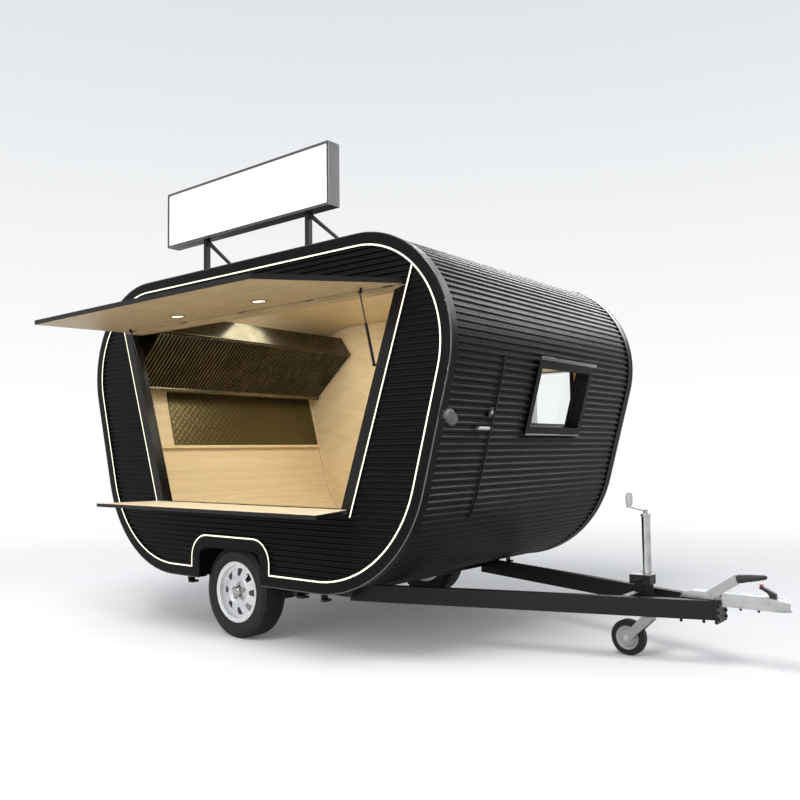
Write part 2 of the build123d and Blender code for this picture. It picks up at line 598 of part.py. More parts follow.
# Road wheels, turned about the axle line with the outer face toward positive y
def turned(points):
    return revolve(make_face(Polyline(*points, close=True)), Axis.Y)


half = TYRE_WIDTH / 2
tyre = turned([
    (RIM_BARREL + 2, -half + 22), (RIM_RADIUS + 10, -half + 4), (TYRE_RADIUS - 58, -half), (TYRE_RADIUS - 26, -half + 6),
    (TYRE_RADIUS - 6, -half + 20), (TYRE_RADIUS, -half + 40), (TYRE_RADIUS, half - 40), (TYRE_RADIUS - 6, half - 20),
    (TYRE_RADIUS - 26, half - 6), (TYRE_RADIUS - 58, half), (RIM_RADIUS + 10, half - 4), (RIM_BARREL + 2, half - 22),
])
disc = half - RIM_DISC_SET
rim = turned([
    (RIM_BARREL - RIM_WALL, -half + 12), (RIM_RADIUS, -half + 6), (RIM_RADIUS, -half + 11), (RIM_BARREL, -half + 18),
    (RIM_BARREL, half - 18), (RIM_RADIUS, half - 11), (RIM_RADIUS, half - 6), (RIM_BARREL - RIM_WALL, half - 12),
    (RIM_BARREL - RIM_WALL, disc - 6), (RIM_HOLE_CIRCLE + 26, disc - 8), (RIM_HOLE_CIRCLE - 26, disc + 8),
    (HUB_RADIUS + 22, disc + 14), (HUB_RADIUS, disc + 2), (HUB_CAP_RADIUS, disc + 2), (HUB_CAP_RADIUS - 3, disc + HUB_CAP_OUT - 5),
    (HUB_CAP_RADIUS - 12, disc + HUB_CAP_OUT), (0, disc + HUB_CAP_OUT), (0, disc - 10), (STUB_RADIUS + RUN_GAP, disc - 10),
    (STUB_RADIUS + RUN_GAP, -40), (HUB_RADIUS, -40), (HUB_RADIUS, disc - 4),
    (RIM_HOLE_CIRCLE - 26, disc + 3), (RIM_HOLE_CIRCLE + 26, disc - 13), (RIM_BARREL - RIM_WALL, disc - 11),
])
near_r, far_r = RIM_HOLE_CIRCLE - RIM_HOLE_REACH, RIM_HOLE_CIRCLE + RIM_HOLE_REACH
near_w, far_w = RIM_HOLE_HALF
hole = polygon([(near_r, -near_w), (far_r, -far_w), (far_r, far_w), (near_r, near_w)])
hole = fillet(hole.vertices(), RIM_HOLE_CORNER)
for i in range(RIM_HOLES):
    rim -= across(Rot(0, 0, i * 360 / RIM_HOLES) * hole, disc - 40, disc + 40)
for name, turn, side in (("near", 180, -1), ("far", 0, 1)):
    place = Pos(AXLE_X, side * WHEEL_Y, TYRE_RADIUS) * Rot(0, 0, turn)
    nodes["tyre_" + name] = place * tyre
    nodes["rim_" + name] = place * rim

# A-frame drawbar from the cross member to the head plate
beam_low = BEAM_TOP_Z - BEAM_HEIGHT
beam_x = CROSS_X + CROSS_WIDTH / 2
beam_y = rail_inner - BEAM_WIDTH
beam_slope = (BEAM_END_Y - beam_y) / (BEAM_END_X - beam_x)
for name, side in (("near", -1), ("far", 1)):
    w = BEAM_WIDTH / 2
    corners = [(beam_x, beam_y - w), (BEAM_END_X, BEAM_END_Y - w), (BEAM_END_X, BEAM_END_Y + w), (beam_x, beam_y + w)]
    flat = polygon([(x, side * y) for x, y in corners])
    nodes["drawbar_beam_" + name] = extrude(Plane(origin=(0, 0, beam_low)) * flat, amount=BEAM_HEIGHT)
brace_x = JACK_X - 60
brace_half = beam_y + beam_slope * (brace_x + 20 - beam_x) - BEAM_WIDTH / 2
brace = box(brace_x - 20, brace_x + 20, -brace_half, brace_half, BEAM_TOP_Z - BRACE_HEIGHT, BEAM_TOP_Z)
clamp = box(CLAMP_X[0], CLAMP_X[1], -CLAMP_HALF, CLAMP_HALF, CLAMP_Z[0], CLAMP_Z[1])
clamp += box(brace_x + 18, JACK_X, -22, 22, BEAM_TOP_Z - BRACE_HEIGHT + 4, CLAMP_Z[0] + 2)
clamp += rod((JACK_X, 0, BEAM_TOP_Z - 12), (JACK_X, 0, CLAMP_Z[0] + 2), JACK_TUBE_RADIUS + 7)
clamp += box(brace_x - 10, brace_x + 20, -22, 22, BEAM_TOP_Z - 5, CLAMP_Z[0] + 2)
clamp -= rod((JACK_X, 0, 0), (JACK_X, 0, TOP_Z), JACK_TUBE_RADIUS + TOUCH_GAP)
nodes["drawbar_brace"] = brace + clamp

head_low = BEAM_TOP_Z + TOUCH_GAP
plate_x = BEAM_END_X + HEAD_PLATE
head = box(BEAM_END_X, plate_x, -HEAD_PLATE_HALF, HEAD_PLATE_HALF, HEAD_PLATE_Z[0], HEAD_PLATE_Z[1])
head_points = [
    (HEAD_BODY_X, head_low), (plate_x, head_low), (plate_x, HEAD_BODY_TOP_Z), (HEAD_BODY_X + 70, HEAD_BODY_TOP_Z),
    (HEAD_BODY_X + 20, HEAD_BODY_TOP_Z - 16),
]
head += across(polygon(head_points), -HEAD_BODY_HALF, HEAD_BODY_HALF)
head += rod((plate_x - 2, 0, DRAW_TUBE_Z), (COUPLING_REAR_X + DRAW_TUBE_GRIP, 0, DRAW_TUBE_Z), DRAW_TUBE_RADIUS)
nodes["drawbar_head"] = head


# Ball coupling: a pressed housing with a rounded nose, a foot flange and its handle
ball_x = COUPLING_NOSE_X - NOSE_RADIUS - COUPLING_FLANGE


def coupling_plan(growth):
    tail = rectangle(COUPLING_REAR_X, ball_x, -COUPLING_HALF - growth, COUPLING_HALF + growth)
    return tail + Pos(ball_x, 0) * Circle(NOSE_RADIUS + growth)


housing_points = [
    (COUPLING_REAR_X, COUPLING_LOW_Z), (COUPLING_NOSE_X, COUPLING_LOW_Z), (COUPLING_NOSE_X, COUPLING_TOP_Z - 26),
    (ball_x + 10, COUPLING_TOP_Z - 12), (ball_x - 70, COUPLING_TOP_Z), (COUPLING_REAR_X, COUPLING_TOP_Z),
]
housing = extrude(Plane(origin=(0, 0, COUPLING_LOW_Z)) * coupling_plan(0), amount=COUPLING_TOP_Z)
housing &= across(polygon(housing_points), -HALF_WIDTH, HALF_WIDTH)
housing += extrude(Plane(origin=(0, 0, COUPLING_LOW_Z)) * coupling_plan(COUPLING_FLANGE), amount=COUPLING_FLANGE)
housing -= rod(
    (COUPLING_REAR_X - 1, 0, DRAW_TUBE_Z), (COUPLING_REAR_X + DRAW_TUBE_GRIP + TOUCH_GAP, 0, DRAW_TUBE_Z),
    DRAW_TUBE_RADIUS + TOUCH_GAP,
)
housing -= rod((ball_x, 0, COUPLING_LOW_Z - 1), (ball_x, 0, COUPLING_LOW_Z + BALL_DEPTH), BALL_RADIUS)
handle_points = [
    (ball_x - 52, COUPLING_TOP_Z - 6), (ball_x - 18, COUPLING_TOP_Z - 8), (ball_x - 26, COUPLING_TOP_Z + 18),
    (ball_x - 92, COUPLING_TOP_Z + 50), (ball_x - 106, COUPLING_TOP_Z + 42), (ball_x - 64, COUPLING_TOP_Z + 18),
]
nodes["coupling_head"] = housing + across(polygon(handle_points), -16, 16)

# Brake lever: a plate pivoted on the head's near side, with a tapered grip
foot = Vector(LEVER_FOOT[0], LEVER_FOOT[1])
knee = Vector(LEVER_KNEE[0], LEVER_KNEE[1])
edge = (knee - foot).normalized() * LEVER_PLATE
plate_points = [
    (foot.X + edge.Y, foot.Y - edge.X), (knee.X + edge.Y, knee.Y - edge.X),
    (knee.X - edge.Y, knee.Y + edge.X), (foot.X - edge.Y, foot.Y + edge.X),
]
lever_y = -COUPLING_HALF - COUPLING_FLANGE - 2
lever = across(polygon(plate_points), lever_y - LEVER_WIDTH, lever_y)
lever += rod((foot.X, lever_y - LEVER_WIDTH - 4, foot.Y), (foot.X, -HEAD_BODY_HALF - TOUCH_GAP, foot.Y), LEVER_BOSS)
grip_start = (LEVER_KNEE[0], lever_y - LEVER_WIDTH / 2, LEVER_KNEE[1])
grip_axis = Vector(LEVER_TIP[0] - LEVER_KNEE[0], 0, LEVER_TIP[1] - LEVER_KNEE[1])
grip_taper = degrees(atan((GRIP_RADIUS[0] - GRIP_RADIUS[1]) / grip_axis.length))
grip_plane = Plane(origin=grip_start, z_dir=grip_axis.normalized())
lever += extrude(grip_plane * Circle(GRIP_RADIUS[0]), amount=grip_axis.length, taper=grip_taper)
nodes["brake_lever"] = lever

# Parking jack: outer tube with crank, sliding leg, castor fork and wheel
tube = rod((JACK_X, 0, JACK_TUBE_BOTTOM_Z), (JACK_X, 0, JACK_TUBE_TOP_Z), JACK_TUBE_RADIUS)
tube -= rod((JACK_X, 0, 0), (JACK_X, 0, JACK_TUBE_TOP_Z - 12), JACK_LEG_RADIUS + RUN_GAP)
tube += rod((JACK_X, 0, JACK_TUBE_TOP_Z), (JACK_X, 0, JACK_TUBE_TOP_Z + 24), 12)
tube += rod((JACK_X + 8, 0, JACK_TUBE_TOP_Z + 18), (JACK_X - 96, 0, JACK_TUBE_TOP_Z + 40), 8)
tube += rod((JACK_X - 96, 0, JACK_TUBE_TOP_Z + 32), (JACK_X - 96, 0, JACK_TUBE_TOP_Z + 115), 15)
nodes["jack_tube"] = tube
nodes["jack_leg"] = rod((JACK_X, 0, JACK_LEG_BOTTOM_Z), (JACK_X, 0, JACK_LEG_TOP_Z), JACK_LEG_RADIUS)
wheel_x = JACK_X - JACK_TRAIL
fork_y = JACK_WHEEL_WIDTH / 2 + 6
fork_top = JACK_LEG_BOTTOM_Z - RUN_GAP
fork = box(JACK_X - 30, JACK_X + 26, -fork_y - 6, fork_y + 6, fork_top - 14, fork_top)
fork_points = [
    (JACK_X - 30, fork_top), (JACK_X + 26, fork_top), (JACK_X + 26, fork_top - 20),
    (wheel_x + 16, JACK_WHEEL_RADIUS - 18), (wheel_x - 16, JACK_WHEEL_RADIUS - 14), (wheel_x - 16, JACK_WHEEL_RADIUS + 14),
]
for side in (-1, 1):
    y0, y1 = sorted((side * fork_y, side * (fork_y + 6)))
    fork += across(polygon(fork_points), y0, y1)
fork += rod((wheel_x, -fork_y - 8, JACK_WHEEL_RADIUS), (wheel_x, fork_y + 8, JACK_WHEEL_RADIUS), CASTOR_PIN_RADIUS)
nodes["jack_fork"] = fork
castor_bore = CASTOR_PIN_RADIUS + RUN_GAP
castor = turned([
    (castor_bore, -24), (44, -20), (66, -JACK_WHEEL_WIDTH / 2), (JACK_WHEEL_RADIUS - 8, -JACK_WHEEL_WIDTH / 2), (JACK_WHEEL_RADIUS, -18),
    (JACK_WHEEL_RADIUS, 18), (JACK_WHEEL_RADIUS - 8, JACK_WHEEL_WIDTH / 2), (66, JACK_WHEEL_WIDTH / 2), (44, 20), (castor_bore, 24),
])
nodes["jack_wheel"] = Pos(wheel_x, 0, JACK_WHEEL_RADIUS) * castor

# Blank roof sign on two braced posts
sign_x0 = SIGN_MID_X - SIGN_WIDTH / 2
nodes["sign_box"] = box(
    sign_x0, sign_x0 + SIGN_WIDTH, SIGN_Y - SIGN_DEPTH / 2, SIGN_Y + SIGN_DEPTH / 2, SIGN_BOTTOM_Z, SIGN_BOTTOM_Z + SIGN_HEIGHT
)
for name, x in (("rear", POST_X[0]), ("front", POST_X[1])):
    s = POST_SIZE / 2
    post = box(x - s, x + s, SIGN_Y - s, SIGN_Y + s, TOP_Z + 6, SIGN_BOTTOM_Z)
    post += box(x - 50, x + POST_BRACE_RUN + 50, SIGN_Y - 30, SIGN_Y + 30, TOP_Z, TOP_Z + 10)
    b = POST_BRACE / 2
    brace_points = [
        (x + POST_BRACE_RUN - b, TOP_Z + 6), (x + POST_BRACE_RUN + b, TOP_Z + 6), (x + s, SIGN_BOTTOM_Z - 4), (x + s - 2, SIGN_BOTTOM_Z - 30)
    ]
    post += across(polygon(brace_points), SIGN_Y - b, SIGN_Y + b)
    nodes["sign_post_" + name] = post

for name, shape in nodes.items():
    export_step(Pos(SHIFT_X, SHIFT_Y, 0) * shape, "parts/" + name + ".step")
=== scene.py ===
"""Looks of a towed food cart: finishes for its solids and the fittings added to them."""

import logging
import math
from dataclasses import dataclass
from enum import Enum
from typing import Callable, Sequence

import bmesh
import bpy
from mathutils import Matrix, Vector


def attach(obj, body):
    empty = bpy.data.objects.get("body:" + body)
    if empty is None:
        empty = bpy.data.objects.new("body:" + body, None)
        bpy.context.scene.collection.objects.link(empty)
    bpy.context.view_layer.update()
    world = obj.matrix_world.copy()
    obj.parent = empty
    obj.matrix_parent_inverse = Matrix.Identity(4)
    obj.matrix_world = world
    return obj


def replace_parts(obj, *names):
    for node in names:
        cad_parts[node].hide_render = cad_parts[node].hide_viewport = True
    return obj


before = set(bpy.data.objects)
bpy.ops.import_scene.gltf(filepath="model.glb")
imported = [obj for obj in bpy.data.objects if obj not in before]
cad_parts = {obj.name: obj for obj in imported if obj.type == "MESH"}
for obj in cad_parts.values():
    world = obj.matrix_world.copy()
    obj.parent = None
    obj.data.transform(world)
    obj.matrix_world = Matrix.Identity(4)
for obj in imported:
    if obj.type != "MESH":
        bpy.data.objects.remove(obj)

log = logging.getLogger("food_cart")
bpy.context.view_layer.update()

# Trailer sizes in millimetres: x forward from a datum by the axle, y from the centre plane, z from the ground
SHIFT = Vector((-715.0, 412.8345, 0.0))
HALF_WIDTH = 1125.0
BODY_MID_X = 75.0
TOP_MID = (1005.0, 1750.0)
LOW_MID = (678.2, 1166.0)
TOP_RADIUS = 640.0
LOW_RADIUS = 800.0
CREST_INSET = 4.0
TAPER = math.radians(15.4)
SLOPE_TOP = (1618.2, 1581.1)
FRONT_OUT = Vector((math.cos(TAPER), 0.0, -math.sin(TAPER)))
HATCH_MID_X = 113.0
HATCH_SILL_HALF = 906.0
HATCH_SLOPE = 0.342
HINGE_Y = -1131.0
AWNING_HINGE_Z = 2062.0
AWNING_DROOP = math.radians(4.5)
SILL_Z = 850.0
TYRE_RADIUS = 291.5
WHEEL_Y = 982.5
AXLE_X = -26.0
ARCH_HALF = 298.0
JACK_X = 2250.0
CASTOR = Vector((2130.0, 0.0, 100.0))
SMOOTH_ANGLE = math.radians(35.0)

# Depth in metres of a surface's fine unevenness, and how much finer than its patches it is
FINE_DEPTH = 0.0006
FINER = 11.0

Point = tuple[float, float, float]
Colour = tuple[float, float, float]
Pair = tuple[float, float]
Test = Callable[[Vector, Vector], bool]


class Side(Enum):
    """The serving side and the side away from it."""

    NEAR = -1
    FAR = 1

    @property
    def label(self) -> str:
        """The side's name as used in pieces and nodes."""
        return self.name.lower()


class Grain(Enum):
    """The direction that wood grain or brushing runs, as the stretch of the pattern's space."""

    ALONG_X = (1.0, 14.0, 14.0)
    ALONG_Y = (14.0, 1.0, 14.0)
    ALONG_Z = (14.0, 14.0, 1.0)


def hatch_half(z: float) -> float:
    """Half the hatch's outer width at a height."""
    return HATCH_SILL_HALF + HATCH_SLOPE * (z - SILL_Z)


def front_point(y: float, z: float, out: float = 0.0) -> Vector:
    """A point on the plane of the front wall's rib crests, or at a distance out of it."""
    x = BODY_MID_X + SLOPE_TOP[0] - (SLOPE_TOP[1] - z) * math.tan(TAPER)
    return Vector((x, y, z)) + FRONT_OUT * out


def on_slope(origin: Sequence[float], along: Sequence[float], out: Sequence[float]) -> Matrix:
    """A place whose x runs along a surface and whose z points out of it.

    Args:
        origin: Where the place's origin lies.
        along: Direction of its x axis.
        out: Direction of its z axis.

    Returns:
        The matrix from that place to the trailer.
    """
    z_axis = Vector(out).normalized()
    x_axis = Vector(along).normalized()
    turn = Matrix((x_axis, z_axis.cross(x_axis), z_axis)).transposed()
    return Matrix.Translation(Vector(origin)) @ turn.to_4x4()


class Graph:
    """A node tree under construction."""

    def __init__(self, tree: bpy.types.NodeTree) -> None:
        """Work on a tree."""
        self.tree = tree

    def put(self, value: object, socket: bpy.types.NodeSocket) -> None:
        """Link a socket to an input, or set the input to a plain value."""
        if isinstance(value, bpy.types.NodeSocket):
            self.tree.links.new(value, socket)
        else:
            socket.default_value = value

    def node(self, kind: str, inputs: dict[str | int, object], **settings: object) -> bpy.types.Node:
        """Add a node.

        Args:
            kind: Kind of shader node.
            inputs: Socket or plain value for each input.
            settings: Values of the node's own properties.

        Returns:
            The node.
        """
        made = self.tree.nodes.new("ShaderNode" + kind)
        for name, value in settings.items():
            setattr(made, name, value)
        for label, value in inputs.items():
            self.put(value, made.inputs[label])
        return made

    def math(self, operation: str, *values: object) -> bpy.types.NodeSocket:
        """Join values by an operation and return the result."""
        return self.node("Math", dict(enumerate(values)), operation=operation).outputs["Value"]

    def seen_directly(self) -> bpy.types.NodeSocket:
        """One for what the camera sees itself, in a reflection or through glass."""
        path = self.node("LightPath", {}).outputs
        total = path["Is Camera Ray"]
        for label in ("Is Glossy Ray", "Is Transmission Ray"):
            total = self.math("MAXIMUM", total, path[label])
        return total


class Effects:
    """Shader node groups that several finishes share, each built once."""

    def __init__(self) -> None:
        """Start with no groups."""
        self.groups: dict[str, bpy.types.NodeTree] = {}

    def group(self, name: str) -> bpy.types.NodeTree:
        """Return the group of that name, building it on first use."""
        if name not in self.groups:
            self.groups[name] = getattr(self, "_" + name)()
        return self.groups[name]

    @staticmethod
    def _empty(name: str, inputs: dict[str, str], outputs: dict[str, str]) -> tuple:
        """Make a group with its sockets.

        Args:
            name: Name of the group.
            inputs: Kind of each input, by name.
            outputs: Kind of each output, by name.

        Returns:
            The graph, the sockets that it is given and the sockets that it fills.
        """
        tree = bpy.data.node_groups.new(name, "ShaderNodeTree")
        for way, sockets in (("INPUT", inputs), ("OUTPUT", outputs)):
            for label, kind in sockets.items():
                tree.interface.new_socket(label, in_out=way, socket_type="NodeSocket" + kind)
        given, out = tree.nodes.new("NodeGroupInput"), tree.nodes.new("NodeGroupOutput")
        return Graph(tree), given.outputs, out.inputs

    def _spread_noise(self, name: str, detail: float, roughness: float, second: str) -> bpy.types.NodeTree:
        """Make a group of noise spread between two values.

        Args:
            name: Name of the group.
            detail: Layers of the noise.
            roughness: Weight of its finer layers.
            second: Name of the output that holds the plain noise.

        Returns:
            The group's tree.
        """
        kinds = {"Vector": "Vector", "Scale": "Float", "Low": "Float", "High": "Float"}
        graph, given, out = self._empty(name, kinds, {"Value": "Float", second: "Float"})
        noise = graph.node(
            "TexNoise",
            {"Vector": given["Vector"], "Scale": given["Scale"], "Detail": detail, "Roughness": roughness},
        ).outputs["Fac"]
        spread = graph.node(
            "MapRange",
            {"Value": noise, "From Min": 0.3, "From Max": 0.7, "To Min": given["Low"], "To Max": given["High"]},
        )
        graph.put(spread.outputs["Result"], out["Value"])
        graph.put(noise, out[second])
        return graph.tree

    def _mottle(self) -> bpy.types.NodeTree:
        """Soft uneven patches, as on paint, coating and rubber."""
        return self._spread_noise("mottle", 5.0, 0.62, "Mask")

    def _streaks(self) -> bpy.types.NodeTree:
        """Fine parallel scratches of brushed or drawn metal."""
        return self._spread_noise("streaks", 4.0, 0.75, "Height")

    def _wood(self) -> bpy.types.NodeTree:
        """Pale board with long fibres and wider figure."""
        graph, given, out = self._empty(
            "wood",
            {"Vector": "Vector", "Light": "Color", "Dark": "Color"},
            {"Color": "Color", "Roughness": "Float", "Height": "Float"},
        )
        place = {"Vector": given["Vector"]}
        figure = graph.node("TexNoise", place | {"Scale": 1.7, "Detail": 3.0, "Distortion": 0.8}).outputs["Fac"]
        fibre = graph.node("TexNoise", place | {"Scale": 16.0, "Detail": 8.0, "Roughness": 0.7}).outputs["Fac"]
        rings = graph.node("TexWave", place | {"Scale": 0.9, "Distortion": 9.0, "Detail": 3.0}).outputs["Fac"]
        height = graph.math("MULTIPLY_ADD", fibre, 0.45, graph.math("MULTIPLY", rings, figure))
        share = graph.node("MapRange", {"Value": height, "From Min": 0.2, "From Max": 0.85}).outputs["Result"]
        mix = graph.node("Mix", {"Factor": share, "A": given["Light"], "B": given["Dark"]}, data_type="RGBA")
        rough = graph.node("MapRange", {"Value": fibre, "To Min": 0.38, "To Max": 0.55})
        graph.put(mix.outputs["Result"], out["Color"])
        graph.put(rough.outputs["Result"], out["Roughness"])
        graph.put(height, out["Height"])
        return graph.tree


class Recipe(Graph):
    """One material's node tree under construction."""

    def __init__(self, name: str, effects: Effects) -> None:
        """Start a material with a Principled shader.

        Args:
            name: Name of the material.
            effects: The shared node groups.
        """
        self.material = bpy.data.materials.new(name)
        self.material.use_nodes = True
        super().__init__(self.material.node_tree)
        self.effects = effects
        self.shader = self.tree.nodes["Principled BSDF"]
        self.place = self.node("TexCoord", {}).outputs["Object"]

    def stretched(self, stretch: Sequence[float], turn: float = 0.0) -> bpy.types.NodeSocket:
        """Object space stretched along its axes, and turned by an angle about x."""
        inputs = {"Vector": self.place, "Scale": stretch, "Rotation": (turn, 0.0, 0.0)}
        return self.node("Mapping", inputs).outputs["Vector"]

    def use(self, name: str, vector: bpy.types.NodeSocket, **values: object) -> Sequence[bpy.types.NodeSocket]:
        """Place a shared effect that reads coordinates, set its other inputs and return its outputs."""
        return self.node("Group", {"Vector": vector, **values}, node_tree=self.effects.group(name)).outputs

    def mixed(self, factor: bpy.types.NodeSocket, first: Colour, second: Colour) -> bpy.types.NodeSocket:
        """Mix two colours by a factor and return the colour."""
        inputs = {"Factor": factor, "A": (*first, 1.0), "B": (*second, 1.0)}
        return self.node("Mix", inputs, data_type="RGBA").outputs["Result"]

    def bumped(self, height: bpy.types.NodeSocket, strength: float, distance: float) -> None:
        """Roughen the normal by a height pattern, with a share of the effect and a depth in metres."""
        bump = self.node("Bump", {"Strength": strength, "Distance": distance, "Height": height})
        self.set(Normal=bump.outputs["Normal"])

    def set(self, **values: object) -> None:
        """Feed or set the shader's inputs, with underscores for spaces in their names."""
        for label, value in values.items():
            self.put(value, self.shader.inputs[label.replace("_", " ")])


@dataclass(frozen=True)
class Finish:
    """A surface finish with two colours that its pattern mixes."""

    name: str
    colour: Colour
    second: Colour

    def make(self, effects: Effects) -> bpy.types.Material:
        """Build the material."""
        recipe = Recipe(self.name, effects)
        self.fill(recipe)
        return recipe.material

    def fill(self, recipe: Recipe) -> None:
        """Join the finish's own nodes to a recipe."""
        raise NotImplementedError


@dataclass(frozen=True)
class Coated(Finish):
    """A painted, moulded or plated surface with soft unevenness."""

    roughness: Pair = (0.3, 0.4)
    metallic: float = 0.0
    coat: float = 0.0
    specular: float = 0.5
    scale: float = 9.0
    bump: float = 0.12

    def fill(self, recipe: Recipe) -> None:
        """Join the finish's own nodes to a recipe."""
        low, high = self.roughness
        patches = recipe.use("mottle", recipe.place, Scale=self.scale, Low=low, High=high)
        fine = recipe.use("mottle", recipe.place, Scale=self.scale * FINER, Low=0.0, High=1.0)
        recipe.bumped(fine["Value"], self.bump, FINE_DEPTH)
        recipe.set(
            Base_Color=recipe.mixed(patches["Mask"], self.colour, self.second), Roughness=patches["Value"],
            Metallic=self.metallic, Coat_Weight=self.coat, Coat_Roughness=0.12, Specular_IOR_Level=self.specular,
        )


@dataclass(frozen=True)
class Board(Finish):
    """Wood board."""

    grain: Grain

    def fill(self, recipe: Recipe) -> None:
        """Join the finish's own nodes to a recipe."""
        space = recipe.stretched(self.grain.value)
        wood = recipe.use("wood", space, Light=(*self.colour, 1.0), Dark=(*self.second, 1.0))
        recipe.set(Base_Color=wood["Color"], Roughness=wood["Roughness"])
        recipe.bumped(wood["Height"], 0.12, FINE_DEPTH)


@dataclass(frozen=True)
class Brushed(Finish):
    """Bare metal with fine parallel scratches."""

    grain: Grain
    roughness: Pair

    def fill(self, recipe: Recipe) -> None:
        """Join the finish's own nodes to a recipe."""
        low, high = self.roughness
        lines = recipe.use("streaks", recipe.stretched(self.grain.value), Scale=22.0, Low=low, High=high)
        patches = recipe.use("mottle", recipe.place, Scale=7.0, Low=0.0, High=1.0)
        recipe.bumped(lines["Height"], 0.08, 0.0004)
        shade = recipe.mixed(patches["Value"], self.colour, self.second)
        recipe.set(Base_Color=shade, Roughness=lines["Value"], Metallic=1.0)


@dataclass(frozen=True)
class Quilted(Finish):
    """Metal sheet pressed with a diamond quilt, which lies across y and z, with painted shade in its hollows."""

    pitch: float

    def fill(self, recipe: Recipe) -> None:
        """Join the finish's own nodes to a recipe."""
        waves = []
        for turn in (math.radians(45.0), math.radians(-45.0)):
            inputs = {"Scale": 0.314 / self.pitch, "Vector": recipe.stretched((1.0, 1.0, 1.0), turn)}
            waves.append(recipe.node("TexWave", inputs, bands_direction="Y", wave_profile="SIN").outputs["Fac"])
        quilt = recipe.math("MINIMUM", *waves)
        lines = recipe.use("streaks", recipe.stretched(Grain.ALONG_Y.value), Scale=18.0, Low=0.32, High=0.46)
        recipe.bumped(quilt, 0.35, 0.004)
        # Hollows take the darker second colour and crowns the lighter one: painted shade in the quilt's hollows.
        shade = recipe.mixed(quilt, self.second, self.colour)
        recipe.set(Base_Color=shade, Roughness=lines["Value"], Metallic=1.0)


@dataclass(frozen=True)
class Glow(Finish):
    """A lit diffuser with a faint unevenness along it."""

    strength: float

    def fill(self, recipe: Recipe) -> None:
        """Join the finish's own nodes to a recipe."""
        patches = recipe.use("mottle", recipe.place, Scale=14.0, Low=0.3, High=0.45)
        shade = recipe.mixed(patches["Mask"], self.colour, self.second)
        recipe.set(Base_Color=shade, Emission_Color=shade)
        recipe.set(Roughness=patches["Value"], Emission_Strength=self.strength)


@dataclass(frozen=True)
class Pane(Finish):
    """Clear glazing with a faint film."""

    def fill(self, recipe: Recipe) -> None:
        """Join the finish's own nodes to a recipe."""
        film = recipe.use("mottle", recipe.place, Scale=5.0, Low=0.0, High=0.03)
        shade = recipe.mixed(film["Mask"], self.colour, self.second)
        recipe.set(Base_Color=shade, Roughness=film["Value"])
        recipe.set(Transmission_Weight=1.0, IOR=1.12, Metallic=0.0)


